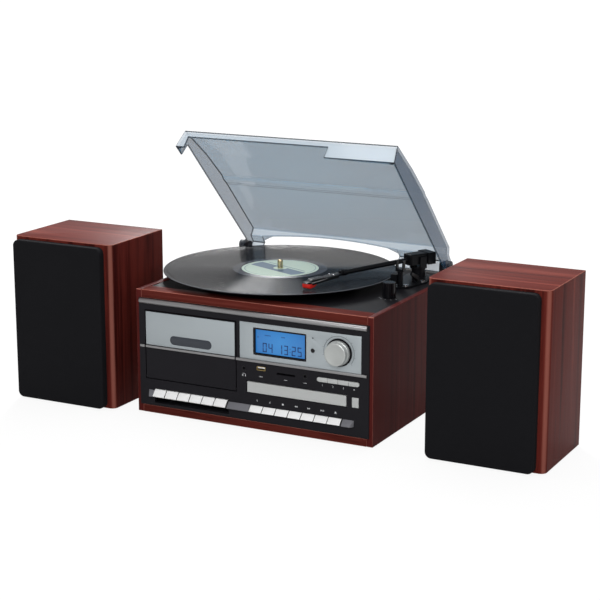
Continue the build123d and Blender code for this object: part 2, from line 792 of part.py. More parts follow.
# ---------------------------------------------------------------- fascia
opening_left, opening_right = door_left - door_gap, door_right + door_gap
opening_bottom, opening_top = door_bottom - door_gap, door_top + door_gap
tape_key_right = tape_key_left + tape_key_count * tape_key_pitch
deck_key_right = deck_key_left + deck_key_count * deck_key_pitch
socket_hole = jack_ring_radius + 0.1
with BuildPart() as fascia:
    with BuildSketch(front_plane(0)):
        slab(-fascia_half_width, fascia_half_width, fascia_bottom, fascia_top)
    extrude(amount=fascia_proud)
    chamfer(fascia.faces().sort_by(Axis.Y)[0].edges(), 0.8)
    with BuildSketch(front_plane(fascia_inner)):
        slab(-inner_half + board_gap, inner_half - board_gap, base_thickness, fascia_top - board_gap)
    extrude(amount=fascia_inner)
    with BuildSketch(front_plane(fascia_inner + 5.0)):
        slab(opening_left, opening_right, opening_bottom, opening_top)
        slab(lcd_left, lcd_right, lcd_bottom, lcd_top)
        slab(tape_key_left - 0.8, tape_key_right + 0.8, recess_bottom, tape_key_top + 1.0)
        slab(deck_key_left - 0.6, deck_key_right + 0.6, deck_key_low - 0.8, deck_key_top + 0.3)
        slab(tray_left - key_gap, tray_right + key_gap, tray_bottom - key_gap, tray_top + key_gap)
        slab(tray_button_left - button_gap, tray_button_right + button_gap,
             tray_button_bottom - button_gap, tray_button_top + button_gap)
        slab(card_left, card_right, card_z - card_slot_height / 2, card_z + card_slot_height / 2)
        with Locations(((pill_left + pill_right) / 2, pill_z)):
            SlotOverall(pill_right - pill_left + 2 * button_gap, pill_height + 2 * button_gap)
        with Locations((usb_x, usb_z)):
            Rectangle(usb_width, usb_height)
        with Locations((phones_x, phones_z), (aux_x, aux_z)):
            Circle(socket_hole)
        with Locations((volume_x, volume_z)):
            Circle(4.5)
        with Locations((eye_x, eye_z)):
            Circle(eye_radius)
        with Locations((eye_x, lamp_z)):
            Circle(lamp_radius)
    extrude(amount=fascia_inner + fascia_proud + 10.0, mode=Mode.SUBTRACT)
    with BuildSketch(front_plane(panel_thickness - 2.6)):
        slab(panel_left, panel_right, panel_bottom, panel_top)
    extrude(amount=5.0, mode=Mode.SUBTRACT)
    # a trough closes the space under the tape keys
    with BuildSketch(side_plane(tape_key_left - 1.8)):
        slab(fascia_inner - 1.0, trough_back, recess_bottom - trough_wall, recess_bottom)
        slab(trough_back - trough_wall, trough_back, recess_bottom - trough_wall, trough_top)
    extrude(amount=tape_key_right - tape_key_left + 3.6)
    # the bearing holes of the cassette door
    with BuildSketch(side_plane(opening_left - 1.7)):
        with Locations((door_pivot_y, door_pivot_z)):
            Circle(door_pin_radius + running_gap)
    extrude(amount=opening_right - opening_left + 3.4, mode=Mode.SUBTRACT)
write(fascia, "fascia")

# ---------------------------------------------------------------- bright trim
top_bar_low = fascia_top - 0.3 - top_bar_height
strip_low, strip_high = strip_z, strip_z + strip_height
with BuildPart() as bright_trim:
    with BuildSketch(side_plane(-top_bar_half_width)):
        with BuildLine():
            ThreePointArc(
                (-fascia_proud, top_bar_low),
                (-fascia_proud - top_bar_proud, top_bar_low + top_bar_height / 2),
                (-fascia_proud, top_bar_low + top_bar_height),
            )
            Line((-fascia_proud, top_bar_low + top_bar_height), (-fascia_proud, top_bar_low))
        make_face()
    extrude(amount=2 * top_bar_half_width)
    with BuildSketch(front_plane(-fascia_proud)):
        slab(-top_bar_half_width, opening_left, strip_low, strip_high)
        slab(opening_right, top_bar_half_width, strip_low, strip_high)
    extrude(amount=strip_proud)
write(bright_trim, "bright_trim")

# ---------------------------------------------------------------- display panel
panel_back_y = panel_thickness - 2.6
with BuildPart() as display_panel:
    with BuildSketch(front_plane(panel_back_y)):
        slab(panel_left, panel_right, panel_bottom, panel_top)
        slab(lcd_left, lcd_right, lcd_bottom, lcd_top, mode=Mode.SUBTRACT)
        with Locations((volume_x, volume_z)):
            Circle(volume_ring_radius, mode=Mode.SUBTRACT)
        with Locations((eye_x, eye_z)):
            Circle(eye_radius, mode=Mode.SUBTRACT)
        with Locations((eye_x, lamp_z)):
            Circle(lamp_radius, mode=Mode.SUBTRACT)
    extrude(amount=panel_thickness)
write(display_panel, "display_panel")

board_y = 8.0
with BuildPart() as lcd_module:
    with BuildSketch(front_plane(board_y)):
        slab(lcd_left, lcd_right, lcd_bottom, lcd_top)
    extrude(amount=board_y + 2.6)
    with BuildSketch(front_plane(-0.6)):
        slab(lcd_left + lcd_frame, lcd_right - lcd_frame, lcd_bottom + lcd_frame, lcd_top - lcd_frame)
    extrude(amount=5.0, mode=Mode.SUBTRACT)
write(lcd_module, "lcd_module")

knob_back_y = -3.0
knob_face_y = knob_back_y - volume_length
with BuildPart() as volume_knob:
    with BuildSketch(level_plane(volume_z)):
        with BuildLine():
            Polyline(
                (volume_x, knob_face_y),
                (volume_x + volume_radius - 1.2, knob_face_y),
                (volume_x + volume_radius - 0.4, knob_face_y + 0.8),
                (volume_x + volume_radius + 0.6, knob_back_y),
                (volume_x + knob_shaft_radius, knob_back_y),
                (volume_x + knob_shaft_radius, board_y - 0.3),
                (volume_x, board_y - 0.3),
                close=True,
            )
        make_face()
    revolve(axis=Axis((mid_x + volume_x, front_y, foot_height + volume_z), (0, 1, 0)))
write(volume_knob, "volume_knob")

# ---------------------------------------------------------------- circuit boards
board_thickness = 1.6
key_board_y = 12.3
main_board_z = 20.0
with BuildPart() as circuit_boards:
    # the display board behind the panel, with the volume encoder, the remote eye and the lamp on it
    with BuildSketch(front_plane(board_y + board_thickness)):
        slab(-10.0, 150.0, 88.0, 140.0)
        slab(86.0, 150.0, 64.0, 88.0)
        slab(135.0, 150.0, 44.0, 64.0)
    extrude(amount=board_thickness)
    with BuildSketch(front_plane(board_y)):
        with Locations((-7.0, 137.5), (147.0, 137.5), (-7.0, 91.0), (147.0, 85.5)):
            Circle(2.0)
    extrude(amount=board_y - fascia_inner)
    with BuildSketch(front_plane(board_y)):
        with Locations((volume_x, volume_z)):
            Circle(4.2)
            Circle(knob_shaft_radius + running_gap, mode=Mode.SUBTRACT)
    extrude(amount=board_y - 1.0)
    with BuildSketch(front_plane(board_y)):
        with Locations((eye_x, eye_z)):
            Circle(eye_radius - 0.2)
        with Locations((eye_x, lamp_z)):
            Circle(lamp_radius - 0.1)
    extrude(amount=board_y + 2.2)
    # the board behind the deck keys
    with BuildSketch(front_plane(key_board_y + board_thickness)):
        slab(-8.0, 134.0, 14.0, 33.0)
    extrude(amount=board_thickness)
    with BuildSketch(front_plane(key_board_y)):
        with Locations((-4.0, 18.0), (130.5, 18.0)):
            Circle(2.5)
    extrude(amount=key_board_y - fascia_inner)
    # the main board on the floor
    with BuildSketch(level_plane(main_board_z)):
        slab(-40.0, 110.0, 60.0, 140.0)
    extrude(amount=board_thickness)
    with BuildSketch(level_plane(base_thickness)):
        with Locations((-35.0, 65.0), (105.0, 65.0), (-35.0, 135.0), (105.0, 135.0)):
            Circle(3.0)
    extrude(amount=main_board_z - base_thickness)
write(circuit_boards, "circuit_boards")

core_height = 34.0
with BuildPart() as transformer:
    with BuildSketch(level_plane(base_thickness)):
        slab(-112.0, -58.0, 195.0, 230.0)
    extrude(amount=core_height)
    with BuildSketch(level_plane(base_thickness + 7.0)):
        slab(-100.0, -70.0, 187.0, 238.0)
    extrude(amount=core_height - 14.0)
    with BuildSketch(level_plane(base_thickness)):
        slab(-122.0, -48.0, 203.0, 222.0)
    extrude(amount=2.0)
write(transformer, "transformer")

# ---------------------------------------------------------------- sockets on the front and the back
jack_depth = 13.0
with BuildPart() as front_sockets:
    for x, z in ((phones_x, phones_z), (aux_x, aux_z)):
        with BuildSketch(front_plane(jack_depth)):
            with Locations((x, z)):
                Rectangle(10.0, 10.0)
        extrude(amount=jack_depth - fascia_inner)
        with BuildSketch(front_plane(fascia_inner)):
            with Locations((x, z)):
                Circle(jack_ring_radius)
        extrude(amount=fascia_inner + fascia_proud + 0.3)
        with BuildSketch(front_plane(jack_depth - 1.0)):
            with Locations((x, z)):
                Circle(jack_radius)
        extrude(amount=jack_depth + 5.0, mode=Mode.SUBTRACT)
    with BuildSketch(front_plane(17.0)):
        with Locations((usb_x, usb_z)):
            Rectangle(usb_width + 1.6, usb_height + 1.6)
    extrude(amount=17.0 - fascia_inner)
    with BuildSketch(front_plane(15.5)):
        with Locations((usb_x, usb_z)):
            Rectangle(usb_width - 0.4, usb_height - 0.4)
    extrude(amount=20.0, mode=Mode.SUBTRACT)
    with BuildSketch(front_plane(16.0)):
        with Locations((usb_x, usb_z + 0.9)):
            Rectangle(usb_width - 1.6, 1.6)
    extrude(amount=17.0)
    with BuildSketch(front_plane(25.0)):
        slab(card_left - 1.5, card_right + 1.5, card_z - 2.4, card_z + 2.4)
    extrude(amount=25.0 - fascia_inner)
    with BuildSketch(front_plane(23.0)):
        slab(card_left, card_right, card_z - card_slot_height / 2, card_z + card_slot_height / 2)
    extrude(amount=25.0, mode=Mode.SUBTRACT)
write(front_sockets, "front_sockets")

speaker_places = ((left_speaker_x, left_speaker_y), (right_speaker_x, right_speaker_y))
with BuildPart() as rear_sockets:
    with BuildSketch(front_plane(back_front_y)):
        with Locations((sum(socket_row_x) / 4, socket_row_z)):
            Rectangle(86.0, 16.0)
    extrude(amount=6.0)
    with BuildSketch(front_plane(back_front_y)):
        with Locations(*[(x, socket_row_z) for x in socket_row_x]):
            Circle(4.0)
    extrude(amount=-(back_thickness + 9.0))
    # the spring terminals of the speaker cables
    with BuildSketch(front_plane(cabinet_depth + 5.0)):
        with Locations((terminal_x, terminal_z)):
            Rectangle(terminal_width - 0.4, terminal_height - 0.4)
    extrude(amount=9.0)
    with BuildSketch(front_plane(cabinet_depth + 5.0)):
        with Locations(*[(terminal_x + dx, terminal_z) for dx in (-22.5, -7.5, 7.5, 22.5)]):
            Circle(2.0)
    extrude(amount=6.0, mode=Mode.SUBTRACT)
    # the gland where the mains lead enters
    with BuildSketch(front_plane(back_front_y)):
        with Locations((gland_x, gland_z)):
            Circle(gland_radius - 0.1)
    extrude(amount=-back_thickness)
    with BuildSketch(front_plane(cabinet_depth + 4.0)):
        with Locations((gland_x, gland_z)):
            Circle(gland_radius + 2.0)
    extrude(amount=4.0)
    with BuildSketch(front_plane(cabinet_depth + 5.0)):
        with Locations((gland_x, gland_z)):
            Circle(3.5)
    extrude(amount=10.0, mode=Mode.SUBTRACT)
    # the terminal plates of the speakers
    for x, y in speaker_places:
        with BuildSketch(front_plane(y + speaker_depth + 2.0)):
            with Locations((x, 50.0)):
                RectangleRounded(44.0, 30.0, 3.0)
        extrude(amount=2.0)
        with BuildSketch(front_plane(y + speaker_depth + 10.0)):
            with Locations((x - 9.5, 50.0), (x + 9.5, 50.0)):
                Circle(4.0)
        extrude(amount=8.0)
write(rear_sockets, "rear_sockets")

# ---------------------------------------------------------------- cassette deck
face_bottom, face_top = 90.2, 133.1
window_x, window_z, window_width, window_height = -84.0, 99.7, 60.8, 12.2
door_face_y = -2.0
carrier_left, carrier_right = -139.0, -31.5
carrier_depth = 16.0
with BuildPart() as cassette_door:
    with BuildSketch(front_plane(door_face_y + door_thickness - 0.4)):
        slab(door_left, door_right, door_bottom, door_top)
    extrude(amount=door_thickness - 0.4)
    with BuildSketch(front_plane(door_face_y)):
        slab(door_left + 0.8, door_right - 0.8, face_bottom, face_top)
    extrude(amount=face_plate)
    with BuildSketch(front_plane(door_face_y)):
        slab(door_left + 0.5, door_right - 0.5, strip_low, strip_high)
    extrude(amount=strip_proud)
    with BuildSketch(front_plane(door_face_y + 1.0)):
        with Locations((window_x, window_z)):
            SlotOverall(window_width, window_height)
    extrude(amount=5.0, mode=Mode.SUBTRACT)
    # the carrier behind the door holds the cassette by its sides and its lower edge
    with BuildSketch(front_plane(door_face_y + door_thickness - 0.4)):
        slab(carrier_left, carrier_right, 50.5, 52.5)
        slab(carrier_left, carrier_left + 2.0, 50.5, 90.0)
        slab(carrier_right - 2.0, carrier_right, 50.5, 90.0)
    extrude(amount=-(carrier_depth - 0.6))
    with BuildSketch(side_plane(opening_left - 1.4)):
        with Locations((door_pivot_y, door_pivot_z)):
            Circle(door_pin_radius)
    extrude(amount=opening_right - opening_left + 2.8)
write(cassette_door, "cassette_door")

mechanism_back = 45.0
block_front = 22.0
block_bottom, block_top = 54.0, 118.0
plate_left, plate_right = -141.0, -29.0
plate_thickness = 2.5
hub_middle = -85.25
hub_spacing = 42.5
hub_z = 86.0
hub_radius = 4.2
hub_shaft_radius = 2.0
hub_shaft_length = 16.0
with BuildPart() as cassette_mechanism:
    with BuildSketch(side_plane(plate_left - plate_thickness)):
        slab(fascia_inner, mechanism_back, 22.0, 120.0)
    extrude(amount=plate_thickness)
    with BuildSketch(side_plane(plate_right)):
        slab(fascia_inner, mechanism_back, 22.0, 120.0)
    extrude(amount=plate_thickness)
    with BuildSketch(front_plane(mechanism_back)):
        slab(plate_left, plate_right, block_bottom, block_top)
    extrude(amount=mechanism_back - block_front)
    with BuildSketch(side_plane(plate_left)):
        with Locations((key_shaft_y, key_shaft_z)):
            Circle(key_shaft_radius)
    extrude(amount=plate_right - plate_left)
    # the tape head and the pinch roller's block stand under the hubs
    with BuildSketch(front_plane(block_front)):
        with Locations((hub_middle, 58.5)):
            Rectangle(14.0, 8.0)
    extrude(amount=4.0)
    with BuildSketch(front_plane(block_front)):
        with Locations((hub_middle - hub_spacing / 2, hub_z), (hub_middle + hub_spacing / 2, hub_z)):
            Circle(hub_shaft_radius + running_gap)
    extrude(amount=-(hub_shaft_length + 0.5), mode=Mode.SUBTRACT)
write(cassette_mechanism, "cassette_mechanism")

hub_back_y = block_front - 0.3
hub_front_y = 9.0
for name, x in (("supply_hub", hub_middle - hub_spacing / 2), ("takeup_hub", hub_middle + hub_spacing / 2)):
    with BuildPart() as hub:
        with BuildSketch(front_plane(hub_back_y)):
            with Locations((x, hub_z)):
                Circle(hub_radius - 0.8)
                with PolarLocations(hub_radius - 1.0, 3):
                    Rectangle(2.0, 1.4)
        extrude(amount=hub_back_y - hub_front_y)
        with BuildSketch(front_plane(hub_back_y)):
            with Locations((x, hub_z)):
                Circle(hub_shaft_radius)
        extrude(amount=-(hub_shaft_length - 1.0))
    write(hub, name)

tape_key_width = tape_key_pitch - key_gap
for number in range(tape_key_count):
    with BuildPart() as tape_key:
        with BuildSketch(side_plane(tape_key_left + number * tape_key_pitch)):
            with BuildLine():
                Polyline(
                    (-key_back, tape_key_top),
                    (-key_front, tape_key_low),
                    (0.6 - key_front, tape_key_low - 1.4),
                    (2.0, tape_key_low - 1.4),
                    (key_shaft_y, key_shaft_z - 3.0),
                    (key_shaft_y, key_shaft_z + 3.0),
                    (2.0, tape_key_top),
                    close=True,
                )
            make_face()
            with Locations((key_shaft_y, key_shaft_z)):
                Circle(4.5)
                Circle(key_shaft_radius + running_gap, mode=Mode.SUBTRACT)
        extrude(amount=tape_key_width)
    write(tape_key, f"tape_key_{number + 1}")

deck_key_width = deck_key_pitch - key_gap
deck_key_reach = 10.0
for number in range(deck_key_count):
    with BuildPart() as deck_key:
        with BuildSketch(side_plane(deck_key_left + number * deck_key_pitch)):
            with BuildLine():
                Polyline(
                    (-key_back, deck_key_top),
                    (-key_front, deck_key_low),
                    (0.4 - key_front, deck_key_low - 0.5),
                    (deck_key_reach, deck_key_low - 0.5),
                    (deck_key_reach, deck_key_top),
                    close=True,
                )
            make_face()
        extrude(amount=deck_key_width)
    write(deck_key, f"deck_key_{number + 1}")

strip_pieces = (
    (strip_left, tape_key_left - 0.8),
    (tape_key_right + 0.8, deck_key_left - 1.0),
    (deck_key_right + 1.0, strip_right),
)
with BuildPart() as key_strip:
    for left, right in strip_pieces:
        with BuildSketch(side_plane(left)):
            with BuildLine():
                Polyline(
                    (-fascia_proud, deck_key_top + 0.2),
                    (-key_front + 0.6, deck_key_low - 0.2),
                    (-key_front + 1.1, deck_key_low - 1.2),
                    (-fascia_proud, deck_key_low - 1.2),
                    close=True,
                )
            make_face()
        extrude(amount=right - left)
    # both ends of the row are mitred
    miter = 3.7
    with BuildSketch(level_plane(0)):
        for end, inward in ((strip_left, 1), (strip_right, -1)):
            with BuildLine():
                Polyline(
                    (end - inward, -fascia_proud - 0.01),
                    (end, -fascia_proud - 0.01),
                    (end + inward * miter, -key_front - 0.5),
                    (end - inward, -key_front - 0.5),
                    close=True,
                )
            make_face()
    extrude(amount=cabinet_height, mode=Mode.SUBTRACT)
write(key_strip, "key_strip")

# ---------------------------------------------------------------- function buttons and the tray's button
button_proud = 3.2
button_back_y = 6.0
function_count = 4
function_pitch = (pill_right - pill_left) / function_count
for number in range(function_count):
    with BuildPart() as function_button:
        with BuildSketch(front_plane(button_back_y)):
            with Locations(((pill_left + pill_right) / 2, pill_z)):
                SlotOverall(pill_right - pill_left, pill_height)
            left = pill_left + number * function_pitch + button_gap / 2
            slab(left, left + function_pitch - button_gap, pill_z - 10, pill_z + 10, mode=Mode.INTERSECT)
        extrude(amount=button_back_y + button_proud)
    write(function_button, f"function_button_{number + 1}")

with BuildPart() as tray_button:
    with BuildSketch(front_plane(button_back_y)):
        slab(tray_button_left, tray_button_right, tray_button_bottom, tray_button_top)
    extrude(amount=button_back_y + button_proud - 0.4)
    fillet(tray_button.faces().sort_by(Axis.Y)[0].edges(), 0.4)
write(tray_button, "tray_button")

# ---------------------------------------------------------------- disc tray and its loader
disc_x = (tray_left + tray_right) / 2
disc_y = 77.0
tray_half = 62.35
tray_floor_z = 51.0
tray_front_y = -2.5
with BuildPart() as cd_tray:
    with BuildSketch(front_plane(tray_front_y + tray_front_thickness)):
        slab(tray_left, tray_right, tray_bottom, tray_top)
    extrude(amount=tray_front_thickness)
    fillet(cd_tray.faces().sort_by(Axis.Y)[0].edges(), 0.6)
    with BuildSketch(level_plane(tray_floor_z)):
        slab(disc_x - tray_half, disc_x + tray_half, tray_front_y + tray_front_thickness, tray_depth + 2.0)
    extrude(amount=tray_thickness)
    with BuildSketch(level_plane(tray_floor_z + tray_thickness - disc_recess)):
        with Locations((disc_x, disc_y)):
            Circle(disc_radius)
    extrude(amount=disc_recess, mode=Mode.SUBTRACT)
    with BuildSketch(level_plane(tray_floor_z + 2.0)):
        with Locations((disc_x, disc_y)):
            Circle(41.0)
    extrude(amount=disc_recess, mode=Mode.SUBTRACT)
    with BuildSketch(level_plane(tray_floor_z - 1.0)):
        with Locations((disc_x, disc_y)):
            Circle(17.0)
        slab(disc_x - 17.0, disc_x + 17.0, disc_y, disc_y + 50.0)
    extrude(amount=tray_thickness + 2.0, mode=Mode.SUBTRACT)
write(cd_tray, "cd_tray")

loader_bottom, loader_top = 40.0, 63.0
rail_gap = 0.3
rail_width = 6.7
with BuildPart() as cd_loader:
    with BuildSketch(level_plane(loader_bottom)):
        slab(disc_x - tray_half - rail_width, disc_x + tray_half + rail_width, 6.0, 165.0)
    extrude(amount=3.0)
    for side in (-1, 1):
        inner, outer = sorted((side * (tray_half + rail_gap), side * (tray_half + rail_width)))
        with BuildSketch(level_plane(loader_bottom)):
            slab(disc_x + inner, disc_x + outer, fascia_inner, 165.0)
        extrude(amount=loader_top - 3.0 - loader_bottom)
        low, high = sorted((side * (tray_half - 6.0), side * (tray_half - 3.0)))
        with BuildSketch(level_plane(loader_bottom + 3.0)):
            slab(disc_x + low, disc_x + high, 20.0, 160.0)
        extrude(amount=tray_floor_z - 0.3 - loader_bottom - 3.0)
    with BuildSketch(level_plane(loader_top - 3.0)):
        slab(disc_x - tray_half - rail_width, disc_x + tray_half + rail_width, 60.0, 94.0)
    extrude(amount=3.0)
    with BuildSketch(level_plane(loader_bottom)):
        with Locations(
            *[(disc_x + side * (tray_half + 2.5), y) for side in (-1, 1) for y in (30.0, 155.0)]
        ):
            Circle(4.0)
    extrude(amount=-(loader_bottom - base_thickness))
write(cd_loader, "cd_loader")

# ---------------------------------------------------------------- speakers
for name, (x, y) in zip(("speaker_box_left", "speaker_box_right"), speaker_places):
    with BuildPart() as speaker_box:
        with BuildSketch(level_plane(0)):
            slab(x - speaker_width / 2, x + speaker_width / 2, y, y + speaker_depth)
        extrude(amount=speaker_height)
        front_corners = speaker_box.edges().filter_by(Axis.Z).sort_by(Axis.Y)[:2]
        fillet(front_corners, speaker_edge_radius)
        with BuildSketch(level_plane(speaker_wall)):
            slab(x - speaker_width / 2 + speaker_wall, x + speaker_width / 2 - speaker_wall,
                 y + speaker_wall, y + speaker_depth - speaker_wall)
        extrude(amount=speaker_height - 2 * speaker_wall, mode=Mode.SUBTRACT)
        with BuildSketch(front_plane(y + speaker_wall + 1.0)):
            with Locations((x, woofer_z)):
                Circle(woofer_hole)
        extrude(amount=speaker_wall + 5.0, mode=Mode.SUBTRACT)
    write(speaker_box, name)

woofer_form = [
    (0, 16.0),
    (12.0, 19.0),
    (37.0, 3.0),
    (40.0, -1.0),
    (43.0, -3.0),
    (woofer_radius, -3.0),
    (woofer_radius, 0),
    (woofer_hole - 0.5, 0),
    (woofer_hole - 0.5, 8.0),
    (30.0, 38.0),
    (30.0, 56.0),
    (0, 56.0),
]
with BuildPart() as woofers:
    for x, y in speaker_places:
        with BuildSketch(level_plane(woofer_z)):
            with BuildLine():
                Polyline(*[(x + radius, y + depth) for radius, depth in woofer_form], close=True)
            make_face()
        revolve(axis=Axis((mid_x + x, front_y + y, foot_height + woofer_z), (0, 1, 0)))
write(woofers, "woofers")

grille_z = grille_height / 2 + 0.5
with BuildPart() as speaker_grilles:
    for x, y in speaker_places:
        with BuildSketch(front_plane(y)):
            with Locations((x + grille_shift, grille_z)):
                RectangleRounded(grille_width, grille_height, grille_corner)
        extrude(amount=grille_depth)
    grille_fronts = speaker_grilles.faces().filter_by(lambda face: face.normal_at().Y < -0.9)
    fillet(grille_fronts.edges(), 2.0)
    for x, y in speaker_places:
        with BuildSketch(front_plane(y)):
            with Locations((x + grille_shift, grille_z)):
                Rectangle(grille_width - 4 * grille_wall, grille_height - 4 * grille_wall)
        extrude(amount=grille_depth - 2.0, mode=Mode.SUBTRACT)
write(speaker_grilles, "speaker_grilles")

# ---------------------------------------------------------------- feet and screws
foot_reach = cabinet_width / 2 - foot_inset
with BuildPart() as rubber_feet:
    with BuildSketch(level_plane(0)):
        with Locations(*[(x, y) for x in (-foot_reach, foot_reach) for y in (foot_inset, cabinet_depth - foot_inset)]):
            Circle(foot_radius)
        for x, y in speaker_places:
            with Locations(
                *[(x + dx, y + dy) for dx in (-55.0, 55.0) for dy in (16.0, speaker_depth - 16.0)]
            ):
                Circle(speaker_foot_radius)
    extrude(amount=-foot_height)
write(rubber_feet, "rubber_feet")

screw_head_radius = 3.2
screw_head_height = 1.4
with BuildPart() as screws:
    with BuildSketch(front_plane(cabinet_depth)):
        with Locations(*back_screw_spots):
            Circle(screw_head_radius)
    extrude(amount=-screw_head_height)
    with BuildSketch(front_plane(cabinet_depth)):
        with Locations(*back_screw_spots):
            Circle(screw_shank_radius)
    extrude(amount=back_thickness)
    with BuildSketch(level_plane(deck_top + arm_base_thickness)):
        with Locations(base_screw_a, base_screw_b):
            Circle(screw_head_radius)
    extrude(amount=screw_head_height)
write(screws, "screws")
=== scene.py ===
"""Dresses the stereo music centre: wooden boxes, a lit display, a record under its cover, two speakers."""

import logging
import math
from dataclasses import dataclass
from enum import Enum
from typing import Callable, Optional, Sequence, Union

import bmesh
import bpy
from mathutils import Matrix, Vector


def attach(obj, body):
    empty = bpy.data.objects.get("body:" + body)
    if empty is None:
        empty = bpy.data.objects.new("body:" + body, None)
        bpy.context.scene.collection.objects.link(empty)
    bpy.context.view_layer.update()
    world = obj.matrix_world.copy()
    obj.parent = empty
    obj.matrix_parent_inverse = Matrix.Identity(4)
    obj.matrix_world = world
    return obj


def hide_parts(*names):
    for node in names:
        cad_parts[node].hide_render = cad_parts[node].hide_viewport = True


logging.basicConfig(level=logging.INFO, format="%(message)s")
LOG = logging.getLogger("music_centre")

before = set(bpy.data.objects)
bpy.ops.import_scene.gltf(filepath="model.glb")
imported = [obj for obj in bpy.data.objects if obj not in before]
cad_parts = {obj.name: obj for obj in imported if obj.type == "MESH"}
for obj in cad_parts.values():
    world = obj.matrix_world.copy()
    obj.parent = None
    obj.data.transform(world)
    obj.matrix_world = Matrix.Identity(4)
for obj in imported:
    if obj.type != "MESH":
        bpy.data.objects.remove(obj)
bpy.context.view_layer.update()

# A pair or point in a plane, a point or three measures, a rectangle's left, low, right and high side.
Pair = tuple[float, float]
Point = tuple[float, float, float]
Sides = tuple[float, float, float, float]
# A linear colour with its alpha.
Colour = tuple[float, float, float, float]
Node = bpy.types.Node
Socket = bpy.types.NodeSocket
Material = bpy.types.Material

# The face attribute that marks rounded edges and creases for painted light: a painted highlight on wood,
# painted dark lines on the smoked cover.
PAINTED_EDGE_MARK = "rim"
# The cabinet's own zero in the row frame, in millimetres: its middle, its front face and its underside.
CABINET_ZERO = Vector((-18.15, -135.65, 1.5))
# How far printed marks stand out.
PRINT = 0.06
UNTURNED = Matrix.Identity(4)
# The open cover: its angle, its own two directions, its hinge and its reach forward from there.
COVER_OPEN = math.radians(44.6)
COVER_BACK = Vector((0.0, math.cos(COVER_OPEN), -math.sin(COVER_OPEN)))
COVER_UP = Vector((0.0, math.sin(COVER_OPEN), math.cos(COVER_OPEN)))
COVER_HINGE = Vector((0.0, 255.0, 172.0))
COVER_REACH = 236.0


def to_row(x: float, y: float, z: float) -> Vector:
    """Returns a point of the cabinet's own millimetres in the row frame's metres."""
    return (Vector((x, y, z)) + CABINET_ZERO) / 1000.0


def tint(red: float, green: float, blue: float) -> Colour:
    """Returns a display colour, 0 to 255 a channel, as linear light with full alpha."""
    parts = [channel / 255.0 for channel in (red, green, blue)]
    return (*(p / 12.92 if p <= 0.04045 else ((p + 0.055) / 1.055) ** 2.4 for p in parts), 1.0)


def dim(colour: Colour, share: float) -> Colour:
    """Returns a colour times a share, no brighter than white."""
    return tuple(min(1.0, c * share) for c in colour[:3]) + (1.0,)


# ---------------------------------------------------------------- shader graph
def joined(operation: str, swapped: bool = False) -> Callable[["Value", object], "Value"]:
    """Returns a method that joins a Value and another number in one Math node, swapped where asked."""
    return lambda one, other: one.graph.math(operation, *((other, one) if swapped else (one, other)))


class Value:
    """A number on a node's socket that takes part in plain arithmetic."""

    def __init__(self, graph: "Graph", socket: Socket) -> None:
        """Keeps the graph that the number belongs to and its socket."""
        self.graph = graph
        self.socket = socket

    __add__ = __radd__ = joined("ADD")
    __mul__ = __rmul__ = joined("MULTIPLY")
    __sub__ = joined("SUBTRACT")
    __rsub__ = joined("SUBTRACT", True)
    __gt__ = joined("GREATER_THAN")
    __lt__ = joined("LESS_THAN")

    def sine(self) -> "Value":
        """Returns the sine of the number."""
        return self.graph.math("SINE", self)

    def size(self) -> "Value":
        """Returns the number without its sign."""
        return self.graph.math("ABSOLUTE", self)

    def reach(self, other: "Value") -> "Value":
        """Returns the length of the line that spans two numbers at right angles."""
        return self.graph.math("SQRT", self * self + other * other)


